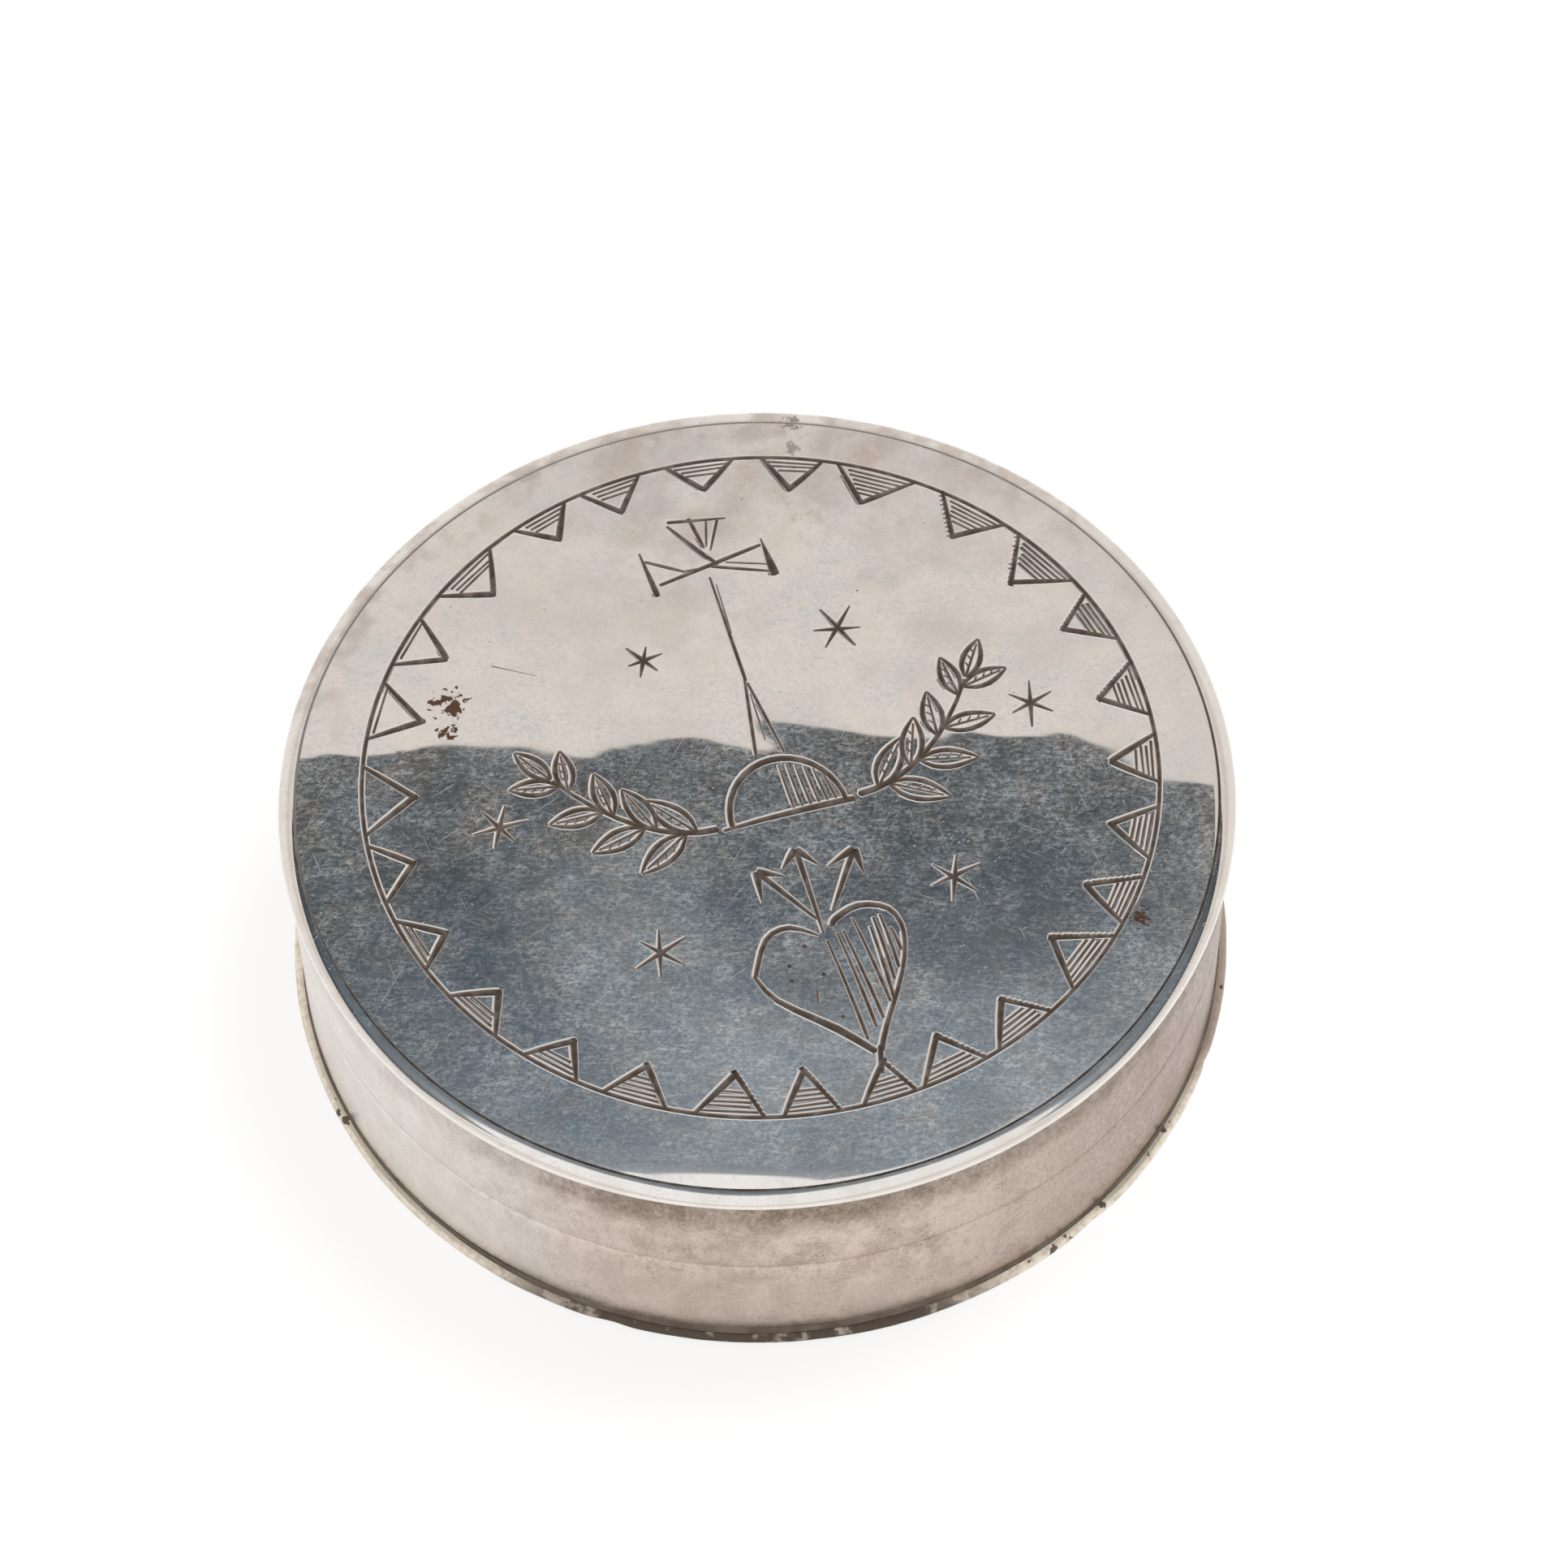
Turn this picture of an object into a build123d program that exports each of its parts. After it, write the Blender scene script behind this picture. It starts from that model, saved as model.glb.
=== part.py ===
"""Round silver pyx: a flanged base with an upstanding bezel, and a lid that slips down over it.

Millimetres, +Z up. The origin is the centre of the underside, and +Y is the top of the lid's design.
Every sheet-metal piece is its own solid, seated face to face where the real ones are soldered.
"""

import os

from build123d import *

# Diameter and sheet gauges
WALL_RADIUS = 29.7
WALL_THICKNESS = 0.6
BASE_PLATE_THICKNESS = 0.7
LID_PLATE_THICKNESS = 0.8
BEZEL_THICKNESS = 0.5

# Heights of the two bands, and of the bezel on each side of the line where they meet
BASE_WALL_HEIGHT = 7.9
LID_SKIRT_HEIGHT = 7.45
BEZEL_DEPTH = 4.3
BEZEL_RISE = 4.1

# How far the two plates stand out past the bands
BASE_FLANGE = 0.7
LID_OVERHANG = 0.3

# Radial play between the bezel and the lid's skirt
SLIP_CLEARANCE = 0.08

# Worn and filed edges
MEETING_EDGE_ROUND = 0.1
BEZEL_LEAD_IN = 0.2
FLANGE_EDGE_ROUND = 0.22

# Edge of the lid plate: it rolls off, is scored by a turned line, and ends in a rounded bead
ROLL_OFF_WIDTH = 1.3
ROLL_OFF_DROP = 0.07
SCORED_LINE_INSET = 1.07
SCORED_LINE_WIDTH = 0.3
SCORED_LINE_DEPTH = 0.13
BEAD_EDGE_DROP = 0.42
BEAD_UNDERCUT = 0.1

# Solder left in the corners between plates and bands
BASE_SOLDER_LEG = 0.4
LID_SOLDER_LEG = 0.5

# Largest share of a sheet's thickness, or of the flange, that an edge round or a solder leg takes
EDGE_SHARE = 0.4
SOLDER_SHARE = 0.7

# Levels and radii that follow from the sizes above
floor_level = BASE_PLATE_THICKNESS
meeting_level = floor_level + BASE_WALL_HEIGHT
lid_plate_level = meeting_level + LID_SKIRT_HEIGHT
top_level = lid_plate_level + LID_PLATE_THICKNESS
wall_inner_radius = WALL_RADIUS - WALL_THICKNESS
skirt_inner_radius = wall_inner_radius + SLIP_CLEARANCE
bezel_inner_radius = wall_inner_radius - BEZEL_THICKNESS
base_plate_radius = WALL_RADIUS + BASE_FLANGE
lid_plate_radius = WALL_RADIUS + LID_OVERHANG


def edge_round(radius, thickness):
    """Edge treatment of this radius, kept within its sheet."""
    return min(radius, EDGE_SHARE * thickness)


def turned(profile):
    """Solid of revolution about the object's axis, from a face drawn in the XZ plane."""
    return revolve(profile, Axis.Z)


def band_profile(inner_radius, outer_radius, bottom, top):
    """Upright cross-section of a rolled and soldered band."""
    corner = Location((inner_radius, bottom))
    section = Rectangle(outer_radius - inner_radius, top - bottom, align=(Align.MIN, Align.MIN))
    return Plane.XZ * (corner * section)


def corners_at(profile, radius, level):
    """The corner of an XZ profile that lies at this radius and level."""
    return profile.vertices().sort_by_distance((radius, 0, level))[:1]


def solder_profile(corner_radius, corner_level, leg, outwards, upwards):
    """Three-cornered run of solder that fills the corner between a band and a plate."""
    corner = (corner_radius, corner_level)
    along_plate = (corner_radius + outwards * leg, corner_level)
    along_band = (corner_radius, corner_level + upwards * leg)
    return Plane.XZ * Polygon(corner, along_plate, along_band, align=None)


def base_plate():
    """Flat disc that the base wall stands on, with its edge left standing out as a flange."""
    profile = band_profile(0, base_plate_radius, 0, floor_level)
    rim = profile.vertices().group_by(Axis.X)[-1]
    return turned(fillet(rim, edge_round(FLANGE_EDGE_ROUND, BASE_PLATE_THICKNESS)))


def base_wall():
    """Lower band, soldered down on the base plate."""
    profile = band_profile(wall_inner_radius, WALL_RADIUS, floor_level, meeting_level)
    worn = corners_at(profile, WALL_RADIUS, meeting_level)
    return turned(fillet(worn, edge_round(MEETING_EDGE_ROUND, WALL_THICKNESS)))


def base_solder():
    """Bead of solder outside the foot of the base wall, on the flange."""
    leg = min(BASE_SOLDER_LEG, SOLDER_SHARE * BASE_FLANGE)
    return turned(solder_profile(WALL_RADIUS, floor_level, leg, 1, 1))


def bezel():
    """Inner band that stands up from the base and carries the lid's skirt."""
    bottom = meeting_level - BEZEL_DEPTH
    top = meeting_level + BEZEL_RISE
    profile = band_profile(bezel_inner_radius, wall_inner_radius, bottom, top)
    lead_in = edge_round(BEZEL_LEAD_IN, BEZEL_THICKNESS)
    profile = chamfer(corners_at(profile, wall_inner_radius, top), lead_in)
    worn = corners_at(profile, bezel_inner_radius, top)
    return turned(fillet(worn, edge_round(MEETING_EDGE_ROUND, BEZEL_THICKNESS)))


def lid_skirt():
    """Upper band, flush with the base wall and a slip fit over the bezel."""
    profile = band_profile(skirt_inner_radius, WALL_RADIUS, meeting_level, lid_plate_level)
    worn = profile.vertices().group_by(Axis.Z)[0]
    return turned(fillet(worn, edge_round(MEETING_EDGE_ROUND, WALL_RADIUS - skirt_inner_radius)))


def lid_solder():
    """Fillet of solder inside the lid, between the skirt and the plate."""
    return turned(solder_profile(skirt_inner_radius, lid_plate_level, LID_SOLDER_LEG, -1, -1))


def lid_plate():
    """Top disc: a flat field that rolls off to a scored line and a rounded bead."""
    line_radius = lid_plate_radius - SCORED_LINE_INSET
    line_inner = line_radius - SCORED_LINE_WIDTH / 2
    line_outer = line_radius + SCORED_LINE_WIDTH / 2
    field_radius = line_inner - ROLL_OFF_WIDTH
    rolled_level = top_level - ROLL_OFF_DROP
    bead_foot = (lid_plate_radius - BEAD_UNDERCUT, lid_plate_level)
    bead_level = top_level - BEAD_EDGE_DROP
    bead_width = lid_plate_radius - line_outer
    bead_height = rolled_level - bead_level
    edges = [
        Line((0, lid_plate_level), bead_foot),
        Line(bead_foot, (lid_plate_radius, bead_level)),
        EllipticalCenterArc((line_outer, bead_level), bead_width, bead_height, 0, arc_size=90),
        Line((line_outer, rolled_level), (line_radius, rolled_level - SCORED_LINE_DEPTH)),
        Line((line_radius, rolled_level - SCORED_LINE_DEPTH), (line_inner, rolled_level)),
        TangentArc((field_radius, top_level), (line_inner, rolled_level), tangent=(1, 0)),
        Line((field_radius, top_level), (0, top_level)),
        Line((0, top_level), (0, lid_plate_level)),
    ]
    return turned(Plane.XZ * make_face(edges))


PIECES = (base_plate, base_wall, base_solder, bezel, lid_skirt, lid_solder, lid_plate)

os.makedirs("parts", exist_ok=True)
for piece in PIECES:
    export_step(piece(), f"parts/{piece.__name__}.step")
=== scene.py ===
"""Dresses the pyx's frame as worn, hand-engraved silver on a plain studio stage.

Lengths inside the script are millimetres in the frame's own axes. A finished piece is scaled to metres
once, when its mesh becomes an object.
"""

import math
import random
from collections import namedtuple

import bmesh
import bpy
from bpy.props import FloatProperty, FloatVectorProperty, IntProperty, PointerProperty
from mathutils import Matrix, Vector, noise
from mathutils.geometry import interpolate_bezier


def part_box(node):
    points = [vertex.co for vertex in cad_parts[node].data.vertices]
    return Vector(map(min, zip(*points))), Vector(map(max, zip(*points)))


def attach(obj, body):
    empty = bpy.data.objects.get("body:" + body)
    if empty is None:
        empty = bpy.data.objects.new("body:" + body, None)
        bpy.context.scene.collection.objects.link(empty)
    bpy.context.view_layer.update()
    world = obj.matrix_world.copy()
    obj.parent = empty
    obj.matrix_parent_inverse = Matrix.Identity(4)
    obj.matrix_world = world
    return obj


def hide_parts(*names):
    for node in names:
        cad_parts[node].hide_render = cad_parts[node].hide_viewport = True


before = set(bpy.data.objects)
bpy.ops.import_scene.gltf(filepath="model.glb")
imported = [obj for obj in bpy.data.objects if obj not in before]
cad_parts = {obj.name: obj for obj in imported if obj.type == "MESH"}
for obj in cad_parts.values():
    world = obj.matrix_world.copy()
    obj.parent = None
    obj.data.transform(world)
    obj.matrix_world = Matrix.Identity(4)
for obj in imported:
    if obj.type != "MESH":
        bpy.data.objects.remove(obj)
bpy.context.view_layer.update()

bl_info = {
    "name": "Engraved Pyx",
    "version": (1, 0, 0),
    "blender": (4, 5, 0),
    "location": "View3D > Sidebar > Pyx",
    "description": "Models a hand-engraved silver pyx around its frame",
    "category": "Object",
}

MM = 0.001


# Sizes of the frame, in millimetres

def outer_radius(node):
    """Largest radius of a frame node."""
    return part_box(node)[1].x / MM


def inner_radius(node):
    """Smallest radius of a ring-shaped frame node."""
    return min(v.co.xy.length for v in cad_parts[node].data.vertices) / MM


def levels(node):
    """Lowest and highest level of a frame node."""
    low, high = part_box(node)
    return low.z / MM, high.z / MM


LID_RADIUS = outer_radius("lid_plate")
LID_UNDERSIDE, LID_TOP = levels("lid_plate")
SEAM_LEVEL = levels("lid_skirt")[0]
WALL_RADIUS = outer_radius("base_wall")
WALL_INNER_RADIUS = inner_radius("base_wall")
SKIRT_INNER_RADIUS = inner_radius("lid_skirt")
BEZEL_INNER_RADIUS = inner_radius("bezel")
BEZEL_BOTTOM, BEZEL_TOP = levels("bezel")
FLANGE_RADIUS = outer_radius("base_plate")
BASE_BOTTOM, BASE_FLOOR = levels("base_plate")

# Edge of the lid: how far the bead drops to the rim, how far in the scored line runs, half its width at the
# top and at its floor, its depth, and the width and height of the round under the bead
BEAD_DROP = 0.42
SCORE_INSET = 1.07
SCORE_HALF = 0.085
SCORE_FLOOR_HALF = 0.02
SCORE_DEPTH = 0.10
LID_UNDERCUT = (0.12, 0.2)
RIM_LEVEL = LID_TOP - BEAD_DROP
SCORE_RADIUS = LID_RADIUS - SCORE_INSET

# Softened edges of the bands, of the flange and of the bezel's lead-in and top
BAND_ROUND = 0.2
FLANGE_ROUND = 0.3
BEZEL_LEAD = 0.2
BEZEL_ROUND = 0.1

# Radius of the facet at the middle of the base plate
BASE_MIDDLE = 2.0

# The design on the lid, in millimetres from the axis, with +Y towards its top

BORDER_CENTRE = Vector((0.5, 0.9))
BORDER_RADIUS = 25.0
BORDER_STEPS = 220

# One row for each hatched triangle of the border: where it stands and how far it spans, in degrees,
# how far it reaches inwards, and how many lines fill it
TRIANGLES = (
    (83, 10.6, 2.3, 3),
    (69, 9.5, 2.5, 3),
    (56, 12.6, 2.8, 6),
    (40, 11.4, 2.8, 5),
    (26, 12.0, 3.2, 5),
    (12.5, 9.8, 2.8, 4),
    (-1.5, 10.1, 2.9, 5),
    (-14, 8.7, 3.0, 4),
    (-27, 9.3, 2.8, 4),
    (-39, 8.7, 3.2, 4),
    (-51, 11.2, 3.3, 4),
    (-66, 10.1, 2.7, 4),
    (-78, 10.3, 2.9, 3),
    (-88, 8.0, 2.6, 4),
    (-99, 8.2, 3.1, 5),
    (-110.5, 10.1, 3.0, 5),
    (-124, 9.5, 2.6, 5),
    (-137, 9.0, 2.4, 3),
    (-151, 9.8, 2.4, 3),
    (-166, 9.8, 2.4, 2),
    (-179, 10.7, 2.5, 0),
    (-192, 12.4, 3.3, 0),
    (-208, 10.6, 3.2, 1),
    (-221, 9.5, 3.1, 1),
    (-236, 11.9, 2.8, 3),
    (-251, 9.5, 2.4, 3),
    (-263, 9.9, 2.5, 3),
)

# Triangles with one side left ragged by a skidding graver
RAGGED = (3, 4, 5, 6, 9, 10, 11, 12, 13, 14, 15)
TOOTH_PITCH = 0.36
TOOTH_DEPTH = 0.11

# Where the lines that fill a triangle start, and the distance between them
HATCH_START = 0.40
HATCH_PITCH = 0.33

# How far a triangle's sides run out over the border circle
SIDE_OVERRUN = 0.1

# Strokes of the cross: start, end, and width at each
CROSS = (
    ((0.1, 21.55), (4.0, 20.8), 0.36, 0.16),
    ((0.1, 21.3), (2.05, 17.9), 0.20, 0.34),
    ((1.6, 21.6), (1.95, 18.8), 0.36, 0.22),
    ((2.7, 21.1), (2.1, 18.9), 0.22, 0.14),
    ((3.4, 20.9), (2.25, 18.5), 0.28, 0.14),
    ((1.95, 18.2), (2.45, 17.3), 0.32, 0.22),
    ((-2.2, 19.7), (-1.95, 15.9), 0.20, 0.44),
    ((-2.1, 18.95), (0.3, 17.35), 0.30, 0.22),
    ((-1.7, 16.8), (5.6, 18.1), 0.34, 0.28),
    ((0.1, 17.45), (2.0, 17.3), 0.22, 0.14),
    ((1.9, 17.35), (5.7, 15.8), 0.32, 0.18),
    ((2.9, 17.4), (5.7, 16.4), 0.18, 0.13),
    ((5.65, 18.6), (5.75, 15.4), 0.14, 0.66),
    ((1.65, 16.6), (1.6, 7.9), 0.22, 0.26),
    ((1.9, 15.9), (1.75, 11.8), 0.12, 0.12),
    ((1.6, 8.4), (0.6, 2.2), 0.26, 0.24),
    ((1.65, 7.9), (2.4, 2.0), 0.26, 0.22),
    ((1.6, 7.0), (1.5, 3.2), 0.14, 0.12),
)

# Six stars: centre, length of a ray, and tilt in degrees
STARS = (
    (-4.2, 11.4, 1.3, 10),
    (8.3, 10.3, 1.7, -8),
    (18.4, 1.2, 1.8, 14),
    (-16.2, 1.7, 1.8, 4),
    (9.9, -10.0, 2.0, 12),
    (-9.1, -10.1, 1.8, 20),
)

# Directions of a star's three strokes, how far the hand turns and shifts them, and their width at each end
STAR_TURNS = (0, 58, 118)
STAR_SLIP_TURN = 7
STAR_SLIP = 0.12
STAR_END_WIDTHS = (0.15, 0.13)

# The heart's outline in three strokes: place and width of the stroke at each turn
HEART_SIDES = (
    ((0.7, -11.8, 0.16), (-1.0, -10.65, 0.38), (-2.65, -11.1, 0.36), (-4.05, -13.6, 0.32)),
    ((-4.1, -13.3, 0.28), (-3.2, -15.5, 0.36), (-0.25, -18.5, 0.54), (1.6, -20.8, 0.44)),
    ((1.55, -11.3, 0.40), (1.95, -10.8, 0.46), (3.55, -10.3, 0.44), (5.25, -11.05, 0.36),
     (5.65, -12.9, 0.32), (4.75, -15.6, 0.30), (2.7, -19.05, 0.36), (1.8, -20.8, 0.42)),
)

# Long lines that fill the heart's right half: top, foot
HEART_LINES = (
    ((0.95, -12.1), (1.3, -19.8)),
    ((1.7, -11.75), (2.05, -19.1)),
    ((2.1, -11.7), (2.65, -18.6)),
    ((2.9, -11.0), (3.4, -17.6)),
    ((3.8, -11.9), (3.65, -17.6)),
    ((4.15, -11.3), (4.1, -16.1)),
    ((4.6, -11.2), (4.6, -15.4)),
    ((4.95, -12.3), (5.1, -14.2)),
)

# Widths of those lines at top and foot, as shares of a hatch line's, and how far they bow
HEART_LINE_WIDTHS = (1.4, 1.55)
HEART_LINE_BOW = 0.06

# Dots and a dash in its left half, with the dots' radius at the bottom and at the top, and the tail below
# its tip
HEART_DOTS = ((-0.5, -12.2), (-1.8, -13.3), (0.05, -14.45), (-1.95, -14.35), (0.3, -17.7))
HEART_DOT_RADII = (0.05, 0.26)
HEART_DOT_DEPTH = 0.26
HEART_DASH = ((-0.65, -15.4), (-0.9, -16.4))
HEART_TAIL = ((1.9, -20.2), (1.4, -22.3), 0.40, 0.34)

# The three nails above the heart: tip, the ends of the two barbs of its head, and foot
NAILS = (
    ((-1.8, -6.1), (-0.1, -7.0), (-2.1, -8.5), (0.85, -10.6)),
    ((1.0, -5.2), (-0.25, -6.4), (2.1, -6.8), (0.9, -11.7)),
    ((4.5, -6.2), (2.5, -7.0), (4.55, -8.3), (1.85, -10.3)),
)

# Widths of a nail's shank and of its two barbs, at their start and at the tip
SHANK_WIDTHS = (0.26, 0.40)
LEFT_BARB_WIDTHS = (0.14, 0.56)
RIGHT_BARB_WIDTHS = (0.14, 0.54)

# The mound under the cross, and the leafy spray on each side of it
MOUND_CENTRE = Vector((1.4, -2.6))
MOUND_RADII = (3.7, 4.3)
MOUND_FOOT = 0.7
MOUND_LINES = 6
MOUND_PITCH = 0.5
SPRAY_STEM = ((4.4, -2.4), (9.4, -2.4), (13.6, 4.2))
SPRAY_STEM_WIDTHS = (0.50, 0.26)
SPRAY_PAIRS = 4

# Leaves of a spray: how they lean from the stem in degrees and how far up it they start, the length of the
# first and how much shorter the last is, breadth as a share of length, and the leaf at the tip
LEAF_LEANS = ((40, 0.1), (-44, 0.8))
LEAF_LENGTH = 4.3
LEAF_SHORTENING = 1.2
LEAF_BREADTH = 0.34
TIP_LEAF_LENGTH = 3.2
TIP_LEAF_BREADTH = 1.1

# Half of a leaf's outline: share of its length, and of its breadth, and the stroke's width there
LEAF_SIDE = (
    (0.0, 0.0, 0.20),
    (0.24, 0.40, 0.34),
    (0.50, 0.50, 0.40),
    (0.76, 0.32, 0.32),
    (1.0, 0.0, 0.16),
)

# Slips of the graver and the deepest scratches: start, end
SLIPS = (
    ((-19.1, -15.6), (-15.5, -21.3)),
    ((1.3, -25.6), (3.8, -25.9)),
    ((-17.0, 8.3), (-15.2, 7.0)),
    ((-13.6, 13.8), (-11.0, 12.2)),
    ((-17.6, -7.0), (-12.4, -5.4)),
    ((-14.8, -9.2), (-11.6, -6.6)),
)

# Brown stains on the lid: centre, radius, size of their patches, and strength
STAINS = (
    (-16.9, 11.6, 2.3, 0.5, 1.0),
    (-17.6, 9.6, 1.5, 0.4, 1.0),
    (19.9, -16.1, 1.5, 0.3, 1.0),
    (10.2, 27.0, 1.6, 0.5, 0.7),
    (9.8, 25.0, 1.3, 0.5, 0.6),
)

# The lid's dull bloom, and its polish, as roughness
BLOOM_ROUGHNESS = 0.42
POLISH_ROUGHNESS = 0.015

# Directions of the hairlines on the lid, in degrees
HAIRLINE_TURNS = (-12, 21, 48, 95, 141)

# Patches of the lid: centre and radius, and how much haze handling has added or rubbing has taken off
HAZED = (
    (-11.0, -7.0, 11.0, 0.17),
    (-6.0, -19.0, 12.0, 0.17),
    (9.0, -25.0, 14.0, 0.13),
)
RUBBED = (
    (-21.0, -4.0, 9.0, 0.45),
    (12.0, -13.0, 11.0, 0.30),
    (-1.0, -15.5, 5.0, 0.25),
)

# Where the flange is darkest, as a direction in the plan: the side that faces the camera, where shade is
# painted on it
DARK_SIDE = (-0.309, -0.951, 0.0)

# Size of the run of solder on the dark side and on the other, as shares of the frame's, how fast it thins
# from one to the other, how hollow its face is, and the sharpest turn that it is shaded smooth across
SOLDER_MOST = 0.75
SOLDER_LEAST = 0.35
SOLDER_FALL = 6
SOLDER_HOLLOW = 1.6
SOLDER_CREASE = 80

# Dents in the edge of the flange: where, in degrees, how wide, in degrees, and how deep
FLANGE_DENTS = (
    (-36, 1.2, 0.10),
    (-63, 3.0, 0.14),
    (-124, 2.0, 0.12),
    (15, 4.0, 0.16),
    (74, 3.0, 0.18),
    (139, 5.0, 0.16),
)

# How far inside the wall the wear of the flange starts, the depth of its small nicks, the most that is ever
# missing from its edge, and how far its top is bent down everywhere and here and there
FLANGE_ROOT = 0.1
FLANGE_NICKS = 0.025
FLANGE_MOST = 0.5
FLANGE_DROP = 0.10
FLANGE_BEND = 0.12

# How the bands stray from round: size of the waves, and which waves
BAND_WAVES = 9.0
BAND_SEED = 3

# Strokes wider than this throw up a burr, which takes this much room beside it
BOLD_WIDTH = 0.21
BURR_ROOM = 0.35

# Narrower strokes than this throw up a smaller burr
FULL_WIDTH = 0.34

# The burr lies thicker on one side of a stroke: how far it is thrown over
BURR_THROW = Vector((-0.045, 0.035))

# How far below the top of the frame the tips of the burrs are worn
BURR_WEAR = 0.001

# How deep the burrs are rooted in the plate, and how far the cutters stand above it
BURR_ROOT = 0.03
CUTTER_LIFT = 0.12

# How soon a stroke comes to its full width, as a share of that width, and at most of its first stretch
BLUNTNESS = 0.5
END_SHARE = 0.3

# Size of the squares that the flat field is divided into, their shift from the axis as a share of it, and
# how level a flat face is
GRID_PITCH = 1.6
GRID_SHIFT = 0.37
FLATNESS = 1e-5

# Where the lid's margin is rolled over: middle and spread in degrees, depth, and width
DIPS = (
    (-109, 14, 0.15, 2.1),
    (-55, 48, 0.024, 0.16),
)
DIP_CURVE = 2.3

# The field is shaded flat this far inside its edge, and so are faces with more corners than this
FIELD_MARGIN = 0.01
MANY_CORNERS = 40

# How much the lid is twisted, as the rise at one millimetre in X and in Y
TWIST = 4e-5

# Where the sides of the lid lean: right or left, from how far out, and how steeply
LEANS = (
    (1, 14, -3.2e-4),
    (-1, 21, 3.2e-4),
)

Stroke = namedtuple("Stroke", "points widths")


# Settings a user would change

class EngravingSettings(bpy.types.PropertyGroup):
    """Sizes of the graver's work on the lid."""

    side_width: FloatProperty(
        name="Side Width", description="Width of the strokes that outline a figure",
        default=0.42 * MM, unit="LENGTH")
    hatch_width: FloatProperty(
        name="Hatch Width", description="Width of the lines that fill a figure",
        default=0.17 * MM, unit="LENGTH")
    border_width: FloatProperty(
        name="Border Width", description="Width of the circle that the triangles stand on",
        default=0.30 * MM, unit="LENGTH")
    slip_width: FloatProperty(
        name="Slip Width", description="Width of a slip of the graver",
        default=0.10 * MM, unit="LENGTH")
    steepness: FloatProperty(
        name="Steepness", description="Depth of a stroke as a share of its width",
        default=0.34, subtype="FACTOR", min=0.1, max=0.8)
    burr_width: FloatProperty(
        name="Burr Width", description="Width of the ridge thrown up on each side of a stroke",
        default=0.08 * MM, unit="LENGTH")
    burr_height: FloatProperty(
        name="Burr Height", description="Height of that ridge at the lip of the stroke",
        default=0.020 * MM, unit="LENGTH")
    seed: IntProperty(
        name="Seed", description="Chooses the small slips of the hand", default=7)


class FinishSettings(bpy.types.PropertyGroup):
    """Colours of the metal and of what has settled on it, with some that also stand for painted shade and
    painted reflection.
    """

    silver: FloatVectorProperty(
        name="Silver", description="Polished silver", subtype="COLOR", default=(0.86, 0.83, 0.79))
    toning: FloatVectorProperty(
        name="Toning", description="Warm grey tarnish on the lid", subtype="COLOR",
        default=(0.60, 0.52, 0.47))
    haze: FloatVectorProperty(
        name="Haze", description="Cool bloom of fine scratches on the lid", subtype="COLOR",
        default=(0.68, 0.74, 0.79))
    blush: FloatVectorProperty(
        name="Blush", description="Thin pinkish tarnish on the walls", subtype="COLOR",
        default=(0.66, 0.555, 0.49))
    # Also stands in for painted shade on the right of the walls and at their foot
    patina_and_shade: FloatVectorProperty(
        name="Patina", description="Pinkish brown tarnish on the walls", subtype="COLOR",
        default=(0.36, 0.275, 0.235))
    # Bluish tint put on the lid's near half, which mirrors the dark ceiling: a painted reflection colour
    painted_reflection_tint: FloatVectorProperty(
        name="Film", description="Thin bluish film on the lid", subtype="COLOR",
        default=(0.62, 0.74, 0.86))
    stain: FloatVectorProperty(
        name="Stain", description="Brown spots on the lid", subtype="COLOR",
        default=(0.15, 0.085, 0.055))
    ivory: FloatVectorProperty(
        name="Ivory", description="Yellowed bare metal of the flange", subtype="COLOR",
        default=(0.86, 0.78, 0.66))
    # Also the painted shade under the lid's rim and on the right of the wall
    soot_and_rim_shade: FloatVectorProperty(
        name="Soot", description="Olive brown dirt under the rim", subtype="COLOR",
        default=(0.19, 0.14, 0.10))
    groove: FloatVectorProperty(
        name="Groove", description="Brown tarnish on the sides of a stroke", subtype="COLOR",
        default=(0.19, 0.145, 0.12))
    # Also the painted shade on the flange's side towards the camera
    dirt_and_shade: FloatVectorProperty(
        name="Dirt", description="Dark dirt in strokes and corners", subtype="COLOR",
        default=(0.075, 0.055, 0.042))
    solder: FloatVectorProperty(
        name="Solder", description="Old hard solder", subtype="COLOR", default=(0.20, 0.165, 0.135))


class WearSettings(bpy.types.PropertyGroup):
    """How uneven hand work and use have left the sheet."""

    wall_wander: FloatProperty(
        name="Wall Wander", description="How far the walls stray from round",
        default=0.05 * MM, unit="LENGTH")
    flange_wander: FloatProperty(
        name="Flange Wander", description="How far the flange's edge is bent and filed away",
        default=0.09 * MM, unit="LENGTH")
    solder_lumps: FloatProperty(
        name="Solder Lumps", description="Share by which the run of solder swells and shrinks",
        default=0.25, subtype="FACTOR", min=0.0, max=0.9)
    turns: IntProperty(
        name="Steps", description="Faces round a turned piece", default=256, min=64, max=512)


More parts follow.
